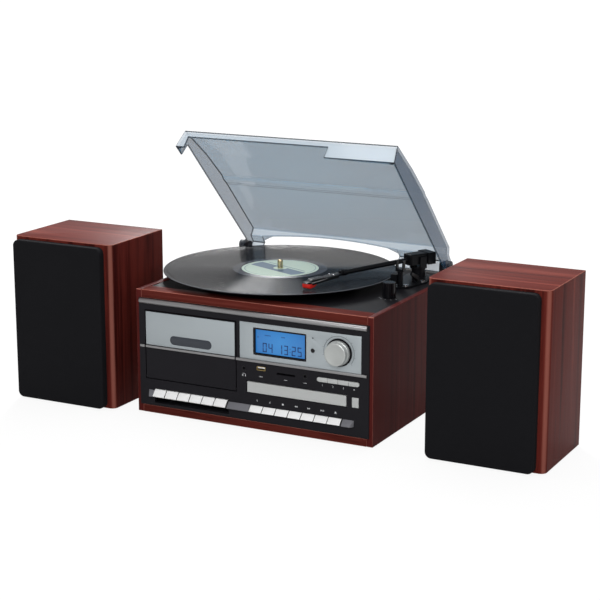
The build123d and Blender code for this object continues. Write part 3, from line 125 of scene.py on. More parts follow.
class Graph:
    """The nodes of one material or world."""

    def __init__(self, owner: Union[Material, bpy.types.World]) -> None:
        """Empties its owner's node tree.

        Args:
            owner: the material or world that the nodes belong to.
        """
        owner.use_nodes = True
        self.owner = owner
        self.tree = owner.node_tree
        self.tree.nodes.clear()

    def node(self, kind: str, settings: Optional[dict] = None, inputs: Optional[dict] = None) -> Node:
        """Adds one node.

        Args:
            kind: the node's type name.
            settings: its properties, set first; "stops" holds a ramp's stops.
            inputs: a value, a colour, a Value or a socket for each socket name or number.

        Returns:
            The node.
        """
        made = self.tree.nodes.new(kind)
        for key, value in (settings or {}).items():
            if key == "stops":
                ramp = made.color_ramp
                while len(ramp.elements) > 1:
                    ramp.elements.remove(ramp.elements[-1])
                ramp.elements[0].position, ramp.elements[0].color = value[0]
                for place, colour in value[1:]:
                    ramp.elements.new(place).color = colour
            else:
                setattr(made, key, value)
        for key, value in (inputs or {}).items():
            socket = made.inputs[key]
            source = value.socket if isinstance(value, Value) else value
            if isinstance(source, Socket):
                self.tree.links.new(source, socket)
            else:
                socket.default_value = source
        return made

    def math(self, operation: str, first: object, second: object = None) -> Value:
        """Returns the result of one Math node on numbers or Values."""
        inputs = {0: first} if second is None else {0: first, 1: second}
        return Value(self, self.node("ShaderNodeMath", {"operation": operation}, inputs).outputs[0])

    def vector(self, operation: str, first: object, second: object = (0.0, 0.0, 0.0)) -> Socket:
        """Returns the result of one Vector Math node, a number where it is a length or a dot product."""
        made = self.node("ShaderNodeVectorMath", {"operation": operation}, {0: first, 1: second})
        return made.outputs[1 if operation in ("LENGTH", "DOT_PRODUCT") else 0]

    def mapped(self, scale: Point = (1.0, 1.0, 1.0), offset: Point = (0.0, 0.0, 0.0)) -> Socket:
        """Returns the object's own coordinates, moved by offset metres and then scaled."""
        place = self.node("ShaderNodeTexCoord").outputs["Object"]
        inputs = {0: place, "Location": tuple(-o * s for o, s in zip(offset, scale)), "Scale": scale}
        return self.node("ShaderNodeMapping", None, inputs).outputs[0]

    def normal(self) -> Socket:
        """Returns the direction that the surface looks in, in the object's own axes."""
        return self.node("ShaderNodeTexCoord").outputs["Normal"]

    def rim(self) -> Value:
        """Returns how strongly a face is marked for painted edge light: a highlight on wood, a dark line on
        the cover.
        """
        return Value(self, self.node("ShaderNodeAttribute", {"attribute_name": PAINTED_EDGE_MARK}).outputs["Fac"])

    def axes(self, vector: Socket) -> list[Value]:
        """Returns the three parts of a vector."""
        parts = self.node("ShaderNodeSeparateXYZ", None, {0: vector})
        return [Value(self, part) for part in parts.outputs]

    def noise(self, vector: Socket, scale: float, detail: float = 4.0, warp: float = 0.0) -> Value:
        """Returns a noise from 0 to 1, from a vector."""
        inputs = {"Vector": vector, "Scale": scale, "Detail": detail, "Distortion": warp}
        return Value(self, self.node("ShaderNodeTexNoise", None, inputs).outputs[0])

    def grade(self, factor: object, low: float, high: float) -> Value:
        """Returns 0 below low, 1 above high and an even rise between them."""
        inputs = {0: factor, 1: low, 2: high, 3: 0.0, 4: 1.0}
        return Value(self, self.node("ShaderNodeMapRange", {"clamp": True}, inputs).outputs[0])

    def blend(self, factor: object, first: object, second: object) -> Socket:
        """Returns the mix of two colours."""
        inputs = {0: factor, 6: first, 7: second}
        return self.node("ShaderNodeMix", {"data_type": "RGBA"}, inputs).outputs[2]

    def bump(self, height: object, distance: float, strength: float = 1.0) -> Socket:
        """Returns a normal raised by a height, distance metres for a height of 1."""
        inputs = {"Height": height, "Distance": distance, "Strength": strength}
        return self.node("ShaderNodeBump", None, inputs).outputs[0]

    def mixed(self, kind: str, factor: object, first: Node, second: Node) -> None:
        """Ends the tree in the mix of two shaders, in an output node of that kind."""
        mix = self.node("ShaderNodeMixShader", None, {0: factor, 1: first.outputs[0], 2: second.outputs[0]})
        self.node(kind, None, {0: mix.outputs[0]})

    def finish(self, **sockets: object) -> Material:
        """Ends the material in one Principled shader.

        Args:
            **sockets: values by socket name, with underscores for spaces.

        Returns:
            The material.
        """
        inputs = {key.replace("_", " "): value for key, value in sockets.items()}
        shader = self.node("ShaderNodeBsdfPrincipled", None, inputs)
        self.node("ShaderNodeOutputMaterial", None, {0: shader.outputs[0]})
        return self.owner


# ---------------------------------------------------------------- finishes
@dataclass(frozen=True)
class Finish:
    """A surface that can dress any number of pieces."""

    name: str

    def paint(self, graph: Graph) -> Material:
        """Builds the material.

        Args:
            graph: the graph for its nodes.

        Returns:
            The material.
        """
        raise NotImplementedError

    def material(self) -> Material:
        """Returns the material, built on its first use."""
        return bpy.data.materials.get(self.name) or self.paint(Graph(bpy.data.materials.new(self.name)))


class Grain(Enum):
    """The direction that a board's grain runs in, as the stretch of its pattern."""

    WIDE = (0.045, 1.0, 1.0)
    DEEP = (1.0, 0.045, 1.0)
    TALL = (1.0, 1.0, 0.045)


@dataclass(frozen=True)
class Veneer(Finish):
    """Dark red wood veneer under clear lacquer."""

    grain: Grain = Grain.WIDE
    top_grain: Grain = Grain.WIDE
    dark: Colour = tint(50, 15, 13)
    body: Colour = tint(90, 37, 31)
    light: Colour = tint(122, 60, 52)
    # The pale colour of the painted highlight on rounded edges and round corners.
    edge_highlight: Colour = tint(176, 112, 98)
    figure: float = 34.0
    offset: Point = (0.0, 0.0, 0.0)
    roughness: float = 0.34
    gloss: float = 0.095

    def paint(self, graph: Graph) -> Material:
        """Broad bands, fine streaks and dark pores along the grain, with a painted highlight on marked
        rounded edges and round corners.

        Args:
            graph: the graph for its nodes.

        Returns:
            The material.
        """
        across, deep, tall = graph.axes(graph.normal())
        sides, top = (graph.mapped(grain.value, self.offset) for grain in (self.grain, self.top_grain))
        inputs = {0: tall.size() > 0.75, 4: sides, 5: top}
        along = graph.node("ShaderNodeMix", {"data_type": "VECTOR"}, inputs).outputs[1]
        bands = graph.noise(along, self.figure, 5.0, 1.2)
        streaks = graph.noise(along, self.figure * 9.0, 4.0, 0.3)
        pores = graph.noise(along, self.figure * 30.0, 2.0)
        tone = graph.grade(bands, 0.32, 0.7) * 0.62 + streaks * 0.38
        stops = [(0.2, self.dark), (0.46, self.body), (0.62, self.body), (0.85, self.light)]
        colour = graph.node("ShaderNodeValToRGB", {"stops": stops}, {0: tone}).outputs[0]
        pore = graph.grade(pores, 0.6, 0.72)
        colour = graph.blend(pore * 0.45, colour, self.dark)
        # Painted highlight: round corners, whose faces look both sideways and forward, and the marked
        # rounded edges blend toward a pale colour.
        corner_highlight = graph.grade((across * deep).size(), 0.3, 0.47) * 0.4
        painted_highlight = graph.math("MAXIMUM", graph.rim() * (streaks * 0.5 + 0.5), corner_highlight)
        return graph.finish(
            Base_Color=graph.blend(painted_highlight, colour, self.edge_highlight),
            Roughness=self.roughness + streaks * 0.12,
            Normal=graph.bump(streaks * 0.6 - pore * 0.5, 0.00006),
            IOR=1.22,
            Specular_IOR_Level=self.gloss,
        )


@dataclass(frozen=True)
class Moulded(Finish):
    """Moulded plastic or rubber with a fine even texture."""

    colour: Colour = tint(35, 34, 38)
    roughness: float = 0.42
    grain_scale: float = 1800.0
    grain_depth: float = 0.00002
    mottle: float = 0.14
    coat: float = 0.0
    gloss: float = 0.2
    # The share of the colour that faces to the left and right keep under their painted shade.
    shaded_flank_share: float = 1.0

    def paint(self, graph: Graph) -> Material:
        """A faint mottle, a fine grain, and faces to the left and right darkened to a share of the colour
        as painted shade in the gaps between keys.

        Args:
            graph: the graph for its nodes.

        Returns:
            The material.
        """
        place = graph.mapped()
        cloud = graph.noise(place, 22.0, 3.0)
        fine = graph.noise(place, self.grain_scale, 2.0)
        darker, lighter = dim(self.colour, 1.0 - self.mottle), dim(self.colour, 1.0 + self.mottle)
        colour = graph.blend(cloud, darker, lighter)
        # Painted shade: faces looking left or right go toward black, for the shade in the gaps between
        # keys.
        if self.shaded_flank_share < 1.0:
            shaded_flank = graph.axes(graph.normal())[0].size() > 0.9
            colour = graph.blend(shaded_flank * (1.0 - self.shaded_flank_share), colour, (0.0, 0.0, 0.0, 1.0))
        return graph.finish(
            Base_Color=colour,
            Roughness=self.roughness + (cloud - 0.5) * 0.1 + (fine - 0.5) * 0.06,
            Normal=graph.bump(fine, self.grain_depth),
            IOR=1.33,
            Specular_IOR_Level=self.gloss,
            Coat_Weight=self.coat,
            Coat_Roughness=0.08,
        )


@dataclass(frozen=True)
class Metal(Finish):
    """Metal, or plastic that looks like it, with fine drawn lines."""

    colour: Colour = tint(190, 192, 196)
    roughness: float = 0.3
    metallic: float = 0.85
    lines: Point = (0.02, 1.0, 1.0)
    line_depth: float = 0.000006

    def paint(self, graph: Graph) -> Material:
        """Lines drawn one way, and a soft cloud in the gloss.

        Args:
            graph: the graph for its nodes.

        Returns:
            The material.
        """
        drawn = graph.noise(graph.mapped(self.lines), 2600.0, 3.0)
        cloud = graph.noise(graph.mapped(), 30.0, 3.0)
        return graph.finish(
            Base_Color=graph.blend(drawn * 0.6 + cloud * 0.4, dim(self.colour, 0.9), self.colour),
            Metallic=self.metallic,
            Roughness=self.roughness + (drawn - 0.5) * 0.12 + (cloud - 0.5) * 0.08,
            Normal=graph.bump(drawn, self.line_depth),
        )


@dataclass(frozen=True)
class SpeakerCloth(Finish):
    """Black cloth stretched over a frame, woven square."""

    colour: Colour = tint(20, 20, 23)
    pitch: float = 0.0009

    def paint(self, graph: Graph) -> Material:
        """Threads over and under each other, with fluff between.

        Args:
            graph: the graph for its nodes.

        Returns:
            The material.
        """
        place = graph.mapped()
        wide, _, tall = graph.axes(place)
        turn = 2.0 * math.pi / self.pitch
        weave = (wide * turn).sine() * (tall * turn).sine() * 0.5 + 0.5
        fluff = graph.noise(place, 900.0, 3.0)
        cloud = graph.noise(place, 14.0, 2.0)
        tone = weave * 0.5 + fluff * 0.3 + cloud * 0.2
        return graph.finish(
            Base_Color=graph.blend(tone, dim(self.colour, 0.45), dim(self.colour, 1.35)),
            Roughness=0.9 + (fluff - 0.5) * 0.1,
            Specular_IOR_Level=0.12,
            Normal=graph.bump(weave + fluff * 0.4, 0.00025, 0.7),
        )


@dataclass(frozen=True)
class Vinyl(Finish):
    """A pressed record: fine rings that fan every highlight out, with bands between its tracks."""

    centre: Point = (0.0, 0.0, 0.0)
    groove: float = 0.00042
    tilt: float = 0.3
    cut: Pair = (0.0595, 0.1468)
    smooth: Pair = (0.0505, 0.0612)
    edge_from: float = 0.1495
    # The grey of the painted sheen on the smooth ring.
    painted_dead_wax_sheen: Colour = tint(74, 77, 84)
    # The grey of the painted highlight on the top of the outer edge.
    painted_rim_highlight: Colour = tint(78, 80, 84)

    def paint(self, graph: Graph) -> Material:
        """Tips the normal in and out along the radius, ring by ring, and paints a grey sheen on the smooth
        ring and a grey highlight on the outer edge's top.

        Args:
            graph: the graph for its nodes.

        Returns:
            The material.
        """
        flat = graph.vector("MULTIPLY", graph.mapped(offset=self.centre), (1.0, 1.0, 0.0))
        radius = Value(graph, graph.vector("LENGTH", flat))
        line = graph.node("ShaderNodeCombineXYZ", None, {0: radius * 1000.0, 1: 0.0, 2: 0.0}).outputs[0]
        bands = graph.noise(line, 0.42, 3.0)
        rings = (radius * (2.0 * math.pi / self.groove)).sine()
        cut = (radius > self.cut[0]) * (radius < self.cut[1])
        swing = (rings * 0.62 + 0.38) * cut * (bands * 0.4 + 0.8) * self.tilt
        tipped = graph.vector("MULTIPLY", graph.vector("NORMALIZE", flat), swing)
        surface = graph.node("ShaderNodeNewGeometry").outputs["Normal"]
        black = graph.blend(bands, tint(7, 8, 12), tint(15, 16, 23))
        # Painted sheen: the smooth ring between the tracks and the label is grey instead of black.
        smooth = (radius > self.smooth[0]) * (radius < self.smooth[1])
        # Painted highlight: the top of the rounded outer edge is grey.
        edge = (radius > self.edge_from) * (graph.axes(graph.normal())[2] > 0.2)
        return graph.finish(
            Base_Color=graph.blend(edge, graph.blend(smooth, black, self.painted_dead_wax_sheen), self.painted_rim_highlight),
            Roughness=0.1 + bands * 0.06 - graph.grade(bands, 0.62, 0.66) * 0.04,
            IOR=1.17,
            Normal=graph.vector("NORMALIZE", graph.vector("ADD", surface, tipped)),
        )


@dataclass(frozen=True)
class PaperLabel(Finish):
    """A record's paper label: pale green, with a slate band and thin rings."""

    centre: Point = (0.0, 0.0, 0.0)

    def paint(self, graph: Graph) -> Material:
        """Plain bands and rings in the label's two inks.

        Args:
            graph: the graph for its nodes.

        Returns:
            The material.
        """
        wide, deep, _ = graph.axes(graph.mapped(offset=self.centre))
        radius = wide.reach(deep)
        fibre = graph.noise(graph.mapped(), 700.0, 3.0)
        leaning = deep * 0.92 + wide * 0.38
        slate = (leaning < 0.006) * (leaning > -0.016) * (radius > 0.009) * (radius < 0.044)
        thin = ((leaning - 0.011).size() < 0.0012) * (radius < 0.038)
        ring = (radius - 0.046).size() < 0.0005
        ground = graph.blend(fibre, tint(178, 200, 184), tint(198, 216, 200))
        colour = graph.blend(slate, ground, tint(88, 112, 132))
        return graph.finish(
            Base_Color=graph.blend(thin + ring, colour, tint(120, 145, 150)),
            Roughness=0.5 + fibre * 0.15,
            Normal=graph.bump(fibre, 0.00001),
        )


@dataclass(frozen=True)
class TurntableBody(Finish):
    """The platter's black plastic, and the bright spindle that stands up out of it."""

    spindle_from: float = 0.1735

    def paint(self, graph: Graph) -> Material:
        """Black below the record, warm bright metal above it.

        Args:
            graph: the graph for its nodes.

        Returns:
            The material.
        """
        place = graph.mapped()
        bright = graph.axes(place)[2] > self.spindle_from
        cloud = graph.noise(place, 60.0, 3.0)
        black = graph.blend(cloud, tint(20, 20, 22), tint(32, 32, 34))
        warm = graph.blend(cloud, tint(190, 170, 130), tint(222, 206, 170))
        return graph.finish(
            Base_Color=graph.blend(bright, black, warm),
            Metallic=bright,
            Roughness=0.45 - bright * 0.27 + cloud * 0.06,
            Normal=graph.bump(cloud, 0.00002),
        )


@dataclass(frozen=True)
class SmokedClear(Finish):
    """Smoked clear plastic, see-through and glossy."""

    colour: Colour = tint(62, 152, 196)
    # Colours by the way a face looks, as painted light: shade on the side walls and the outer top, a
    # reflection on the front and back walls.
    painted_near_wall_shade: Colour = tint(50, 84, 118)
    painted_far_wall_shade: Colour = tint(86, 124, 154)
    painted_outer_shade: Colour = tint(58, 80, 98)
    painted_end_wall_reflection: Colour = tint(206, 218, 228)
    # The colour of the painted dark lines on the marked edges, creases and lip.
    painted_edge_line_colour: Colour = tint(22, 32, 44)
    hinge: Point = (0.0, 0.0, 0.0)
    knuckle: float = 0.0066
    alpha: float = 0.5

    def paint(self, graph: Graph) -> Material:
        """A faint cloud and fine wipe marks, and a colour for each way that a face looks: painted shade on
        the outer top and the side walls, a painted reflection on the front and back walls, and painted dark
        lines on marked edges.

        Args:
            graph: the graph for its nodes.

        Returns:
            The material.
        """
        cloud = graph.noise(graph.mapped(), 5.0, 2.0)
        wipe = graph.noise(graph.mapped((0.3, 1.0, 1.0)), 60.0, 4.0)
        wide, deep, tall = graph.axes(graph.mapped(offset=self.hinge))
        # Painted shade: dark lines on the marked edges, creases and lip, together with the dark hinge
        # knuckle.
        dark = graph.math("MAXIMUM", graph.rim(), deep.reach(tall) < self.knuckle)
        normal = graph.normal()
        back, up = (
            Value(graph, graph.vector("DOT_PRODUCT", normal, tuple(way))) for way in (COVER_BACK, COVER_UP)
        )
        inner = graph.blend(cloud, dim(self.colour, 0.88), self.colour)
        # Painted shade and reflection: the outer top face darker, the near right side wall darker and the
        # far left one lighter, and a pale painted reflection on the front and back walls.
        body = graph.blend(graph.grade(up, 0.3, 0.7), inner, self.painted_outer_shade)
        sides = graph.blend(wide > 0.0, self.painted_far_wall_shade, self.painted_near_wall_shade)
        body = graph.blend(graph.grade(graph.axes(normal)[0].size(), 0.7, 0.95), body, sides)
        body = graph.blend(graph.grade(back.size(), 0.8, 0.95), body, self.painted_end_wall_reflection)
        return graph.finish(
            Base_Color=graph.blend(dark, body, self.painted_edge_line_colour),
            Roughness=0.05 + wipe * 0.05 + dark * 0.5,
            Alpha=self.alpha + (cloud - 0.5) * 0.04 + dark * 0.3,
            IOR=1.49,
        )


@dataclass(frozen=True)
class LitScreen(Finish):
    """A backlit blue display, a little brighter towards its middle."""

    centre: Point = (0.0, 0.0, 0.0)
    half_width: float = 0.034

    def paint(self, graph: Graph) -> Material:
        """A blue glow that falls off to the sides.

        Args:
            graph: the graph for its nodes.

        Returns:
            The material.
        """
        wide, _, tall = graph.axes(graph.mapped(offset=self.centre))
        fine = graph.noise(graph.mapped(), 2400.0, 2.0)
        away = wide.reach(tall) * (0.7 / self.half_width) + (fine - 0.5) * 0.1
        return graph.finish(
            Base_Color=tint(20, 50, 90),
            Emission_Color=graph.blend(away, tint(58, 146, 216), tint(40, 112, 184)),
            Emission_Strength=0.72,
            Roughness=0.2 + fine * 0.05,
        )


@dataclass(frozen=True)
class Ink(Finish):
    """Printed ink, faintly uneven."""

    colour: Colour = tint(210, 212, 215)
    glow: float = 0.0

    def paint(self, graph: Graph) -> Material:
        """A fine unevenness in the print.

        Args:
            graph: the graph for its nodes.

        Returns:
            The material.
        """
        fine = graph.noise(graph.mapped(), 1500.0, 3.0)
        shade = graph.blend(fine, dim(self.colour, 0.85), self.colour)
        return graph.finish(
            Base_Color=shade, Roughness=0.5 + fine * 0.1, Emission_Color=shade, Emission_Strength=self.glow
        )


RECORD_MIDDLE = (-35.0, 142.0)
RECORD_CENTRE = (*to_row(*RECORD_MIDDLE, 0.0).xy, 0.0)
FRONT_WOOD = Veneer("lacquered_rail_wood")
SIDE_WOOD = Veneer(
    "lacquered_side_wood", Grain.TALL, Grain.DEEP, tint(58, 20, 20), tint(80, 30, 28), tint(98, 42, 38)
)
SPEAKER_WOOD = Veneer(
    "lacquered_speaker_wood", Grain.TALL, Grain.WIDE, tint(54, 16, 14), tint(92, 35, 29), tint(122, 57, 48),
    offset=(0.4, 0.2, 0.1),
)
SATIN_BLACK = Moulded("satin_black_plastic", tint(27, 26, 30))
DECK_BLACK = Moulded("deck_black_plastic", tint(20, 19, 22), 0.5, 1400.0, 0.00003, gloss=0.12)
GLOSS_BLACK = Moulded("gloss_black_plastic", tint(14, 14, 17), 0.18, 1200.0, 0.000004, 0.1, 0.4)
ARM_BLACK = Moulded("arm_black_lacquer", tint(14, 15, 18), 0.34, 1500.0, 0.00001, 0.15, 0.05)
RUBBER = Moulded("black_rubber", tint(22, 22, 23), 0.75, 1200.0, 0.00005)
STRIP_GREY = Moulded("grey_key_plastic", tint(112, 112, 117), 0.4)
KEY_WHITE = Moulded("pale_key_plastic", tint(240, 240, 240), 0.3, 1600.0, 0.000006, 0.03, shaded_flank_share=0.06)
BOARD_GREEN = Moulded("circuit_board_green", tint(24, 84, 46), 0.35, 500.0, 0.00004, 0.3)
CARTRIDGE_RED = Moulded("red_cartridge_plastic", tint(205, 38, 30), 0.25, 1500.0, 0.000006, 0.08, 0.5)
WINDOW_GREY = Moulded("smoked_window_plastic", tint(56, 60, 67), 0.2, 1500.0, 0.000004, 0.06, 0.4)
SILVER = Metal("silver_panel_paint", tint(172, 180, 184), 0.4, 0.35)
TRAY_SILVER = Metal("silver_tray_paint", tint(190, 192, 191), 0.42, 0.3)
KNOB_SILVER = Metal("spun_knob_metal", tint(184, 187, 185), 0.34, 0.45, (1.0, 1.0, 1.0))
BRIGHT = Metal("bright_plated_metal", tint(200, 198, 200), 0.2, 0.95)
BAR_METAL = Metal("drawn_bar_metal", tint(152, 151, 152), 0.36, 0.8)
STEEL = Metal("sheet_steel", tint(140, 142, 146), 0.4, 0.9)
BRASS = Metal("socket_brass", tint(206, 180, 120), 0.3, 0.9)
CLOTH = SpeakerCloth("stretched_black_cloth")
VINYL = Vinyl("pressed_vinyl", RECORD_CENTRE)
LABEL = PaperLabel("label_paper", RECORD_CENTRE)
PLATTER = TurntableBody("platter_and_spindle")
SMOKED = SmokedClear("smoked_clear_cover", hinge=tuple(to_row(*COVER_HINGE)))
PRINT_WHITE = Ink("white_print")
PRINT_DARK = Ink("dark_print", tint(62, 64, 70))
SEGMENT_INK = Ink("display_segment", tint(18, 60, 112), 0.3)


# ---------------------------------------------------------------- shapes
def tube(inner: float, outer: float, low: float, high: float) -> list[Pair]:
    """Returns the four points of a tube's wall, as the profile of a turned body."""
    return [(inner, low), (outer, low), (outer, high), (inner, high)]


class Shape:
    """A mesh in the making, drawn in the cabinet's own millimetres."""

    def __init__(self) -> None:
        """Starts with nothing in it."""
        self.bm = bmesh.new()
        self.sharp = 0.62

    def bevel(
        self, edges: Sequence[bmesh.types.BMEdge], radius: float, segments: int, clamp: bool = False
    ) -> list[bmesh.types.BMFace]:
        """Rounds edges.

        Args:
            edges: the edges.
            radius: their radius.
            segments: the steps of each rounded edge.
            clamp: whether the shortest edges hold the radius back.

        Returns:
            The new faces.
        """
        made = bmesh.ops.bevel(
            self.bm, geom=edges, offset=radius, offset_type="OFFSET", affect="EDGES", segments=segments,
            profile=0.5, material=-1, clamp_overlap=clamp,
        )
        return made["faces"]

    def block(
        self, low: Point, high: Point, edge: float = 0.0, segments: int = 2, turn: Matrix = UNTURNED
    ) -> "Shape":
        """Adds a block.

        Args:
            low: its low corner.
            high: its high corner.
            edge: the radius that all its edges get.
            segments: the steps of each rounded edge.
            turn: a turn about the block's own middle.

        Returns:
            The shape itself.
        """
        size = [h - l for l, h in zip(low, high)]
        middle = Matrix.Translation([(l + h) / 2 for l, h in zip(low, high)])
        matrix = middle @ turn @ Matrix.Diagonal((*size, 1.0))
        verts = bmesh.ops.create_cube(self.bm, size=1.0, matrix=matrix)["verts"]
        if edge > 0.0:
            self.bevel(list({e for v in verts for e in v.link_edges}), edge, segments)
        return self

    def printed(
        self, left: float, low: float, right: float, high: float, y: float, turn: Matrix = UNTURNED
    ) -> "Shape":
        """Adds a printed bar that stands on an upright surface at y, turned about its middle."""
        return self.block((left, y - PRINT, low), (right, y, high), turn=turn)

    def turned(
        self, centre: Point, axis: Point, profile: Sequence[Pair], steps: int, closed: bool = False,
        start: float = 0.0, sweep: float = 360.0,
    ) -> "Shape":
        """Adds a turned body.

        Args:
            centre: a point on its axis.
            axis: the direction of its axis.
            profile: (radius, height along the axis) points.
            steps: the steps of the turn.
            closed: whether the profile's last point joins its first.
            start: the angle that a part turn starts from, in degrees.
            sweep: the angle that it turns through.

        Returns:
            The shape itself.
        """
        along = Vector(axis).normalized()
        side = Vector((1.0, 0.0, 0.0)) if abs(along.y) > 0.9 else along.orthogonal().normalized()
        side = Matrix.Rotation(math.radians(start), 3, along) @ side
        verts = [self.bm.verts.new(Vector(centre) + side * r + along * h) for r, h in profile]
        edges = [self.bm.edges.new(pair) for pair in zip(verts, verts[1:])]
        if closed:
            edges.append(self.bm.edges.new((verts[-1], verts[0])))
        full = sweep >= 360.0
        made = bmesh.ops.spin(
            self.bm, geom=verts + edges, cent=centre, axis=along, dvec=(0, 0, 0), angle=math.radians(sweep),
            steps=steps, use_merge=full, use_normal_flip=False, use_duplicate=False,
        )
        if not full and closed:
            ends = [e for e in made["geom_last"] if isinstance(e, bmesh.types.BMEdge)]
            bmesh.ops.edgeloop_fill(self.bm, edges=ends)
            bmesh.ops.edgeloop_fill(self.bm, edges=[e for e in edges if e.is_valid])
        return self

    def outline(
        self, points: Sequence[Point], push: Point = (0.0, -PRINT, 0.0), edge: float = 0.0,
        segments: int = 2,
    ) -> "Shape":
        """Adds a flat outline pushed out into a solid.

        Args:
            points: the outline's corners, in order.
            push: how far and which way it is pushed.
            edge: the radius of the solid's sharp edges.
            segments: the steps of each rounded edge.

        Returns:
            The shape itself.
        """
        face = self.bm.faces.new([self.bm.verts.new(p) for p in points])
        made = bmesh.ops.extrude_face_region(self.bm, geom=[face], use_keep_orig=True)["geom"]
        moved = [g for g in made if isinstance(g, bmesh.types.BMVert)]
        bmesh.ops.translate(self.bm, verts=moved, vec=push)
        faces = {f for v in {*moved, *face.verts} for f in v.link_faces}
        bmesh.ops.recalc_face_normals(self.bm, faces=list(faces))
        if edge > 0.0:
            edges = [e for e in {e for f in faces for e in f.edges} if e.calc_face_angle() > 0.3]
            self.bevel(edges, edge, segments)
        return self

    def ring(self, outer: Sequence[Point], inner: Sequence[Point], push: Point) -> "Shape":
        """Adds a flat frame between two outlines of as many corners, pushed out into a solid.

        Args:
            outer: the outer outline's corners, in order.
            inner: the inner outline's corners, in the same order.
            push: how far and which way it is pushed.

        Returns:
            The shape itself.
        """
        shift = Vector(push)
        loops = [
            [self.bm.verts.new(Vector(p) + move) for p in points]
            for points, move in ((outer, Vector()), (inner, Vector()), (inner, shift), (outer, shift))
        ]
        count = len(outer)
        for first, second in zip(loops, loops[1:] + loops[:1]):
            for n in range(count):
                after = (n + 1) % count
                self.bm.faces.new((first[n], first[after], second[after], second[n]))
        return self

    def words(self, text: str, middle: Point, height: float) -> "Shape":
        """Adds plain characters that stand on the front and face the user.

        Args:
            text: the characters.
            middle: the middle of the line, on the surface.
            height: the characters' height.

        Returns:
            The shape itself.
        """
        curve = bpy.data.curves.new("characters", "FONT")
        curve.body, curve.size, curve.extrude = text, height * 1.4, PRINT / 2
        curve.align_x, curve.align_y = "CENTER", "CENTER"
        holder = bpy.data.objects.new("characters", curve)
        mesh = bpy.data.meshes.new_from_object(holder)
        mesh.transform(Matrix.Translation(middle) @ Matrix.Rotation(math.pi / 2, 4, "X"))
        self.bm.from_mesh(mesh)
        bpy.data.objects.remove(holder)
        bpy.data.meshes.remove(mesh)
        return self

    def of_node(self, node: str) -> "Shape":
        """Adds a copy of a solid, its loose triangles joined into clean faces.

        Args:
            node: the solid's name.

        Returns:
            The shape itself.
        """
        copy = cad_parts[node].data.copy()
        copy.transform(Matrix.Translation(-CABINET_ZERO) @ Matrix.Scale(1000.0, 4))
        self.bm.from_mesh(copy)
        bpy.data.meshes.remove(copy)
        bmesh.ops.remove_doubles(self.bm, verts=self.bm.verts, dist=0.002)
        bmesh.ops.dissolve_limit(self.bm, angle_limit=0.01, verts=self.bm.verts, edges=self.bm.edges)
        return self

    def soften(
        self, edge: float, segments: int = 2, sharp: float = 0.6, rim: float = 0.0, clamp: bool = True
    ) -> "Shape":
        """Rounds the sharp edges.

        Args:
            edge: their radius.
            segments: the steps of each rounded edge.
            sharp: the angle, in radians, past which an edge is rounded.
            rim: how much the rounded faces are marked for painted edge light, 0 to 1.
            clamp: whether the shortest edges hold the radius back.

        Returns:
            The shape itself.
        """
        layers = self.bm.faces.layers.float
        marks = layers.get(PAINTED_EDGE_MARK) or layers.new(PAINTED_EDGE_MARK)
        edges = [e for e in self.bm.edges if len(e.link_faces) == 2 and e.calc_face_angle() > sharp]
        for face in self.bevel(edges, edge, segments, clamp):
            face[marks] = max(face[marks], rim)
        return self

    def stripe(self, middle: Vector, across: Vector, width: float, facing: Vector, rim: float) -> "Shape":
        """Cuts a narrow stripe out of the faces that look one way, and marks it for a painted dark line.

        Args:
            middle: a point in the middle of the stripe.
            across: the unit direction across it.
            width: its width.
            facing: the unit direction, either way, that the stripe's faces look in.
            rim: how strongly it is marked.

        Returns:
            The shape itself.
        """
        for side in (-0.5, 0.5):
            bmesh.ops.bisect_plane(
                self.bm, geom=self.bm.verts[:] + self.bm.edges[:] + self.bm.faces[:], dist=0.0001,
                plane_co=middle + across * width * side, plane_no=across,
            )
        marks = self.bm.faces.layers.float[PAINTED_EDGE_MARK]
        for face in self.bm.faces:
            inside = abs((face.calc_center_median() - middle).dot(across)) < width / 2
            if inside and abs(face.normal.dot(facing)) > 0.8:
                face[marks] = max(face[marks], rim)
        return self

    def moved(self, matrix: Matrix) -> "Shape":
        """Moves all that the shape holds so far."""
        bmesh.ops.transform(self.bm, matrix=matrix, verts=self.bm.verts)
        return self

    def piece(
        self, name: str, slot: str, finish: Finish, replaces: Sequence[str] = (), body: str = "cabinet"
    ) -> None:
        """Turns the shape into a piece of the set.

        Args:
            name: the piece's name.
            slot: a material slot's name, not used.
            finish: its finish.
            replaces: the solids that it stands for.
            body: the body that it rides on.
        """
        bmesh.ops.remove_doubles(self.bm, verts=self.bm.verts, dist=0.0005)
        bmesh.ops.recalc_face_normals(self.bm, faces=self.bm.faces)
        for face in self.bm.faces:
            face.smooth = True
        for edge in self.bm.edges:
            edge.smooth = not (len(edge.link_faces) == 2 and edge.calc_face_angle() > self.sharp)
        self.bm.transform(Matrix.Scale(0.001, 4) @ Matrix.Translation(CABINET_ZERO))
        mesh = bpy.data.meshes.new(name)
        self.bm.to_mesh(mesh)
        self.bm.free()
        mesh.materials.append(finish.material())
        made = bpy.data.objects.new(name, mesh)
        bpy.context.scene.collection.objects.link(made)
        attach(made, body)
        if replaces:
            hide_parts(*replaces)
        LOG.info("piece %s: %d faces", name, len(mesh.polygons))


def dress(finish: Finish, *nodes: str) -> None:
    """Gives solids that are shown as they are their finish.

    Args:
        finish: the finish.
        *nodes: the solids' names.
    """
    for node in nodes:
        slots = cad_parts[node].material_slots
        for spot in slots:
            spot.material = finish.material()
        if not slots:
            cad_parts[node].data.materials.append(finish.material())
        LOG.info("solid %s: %s", node, finish.name)


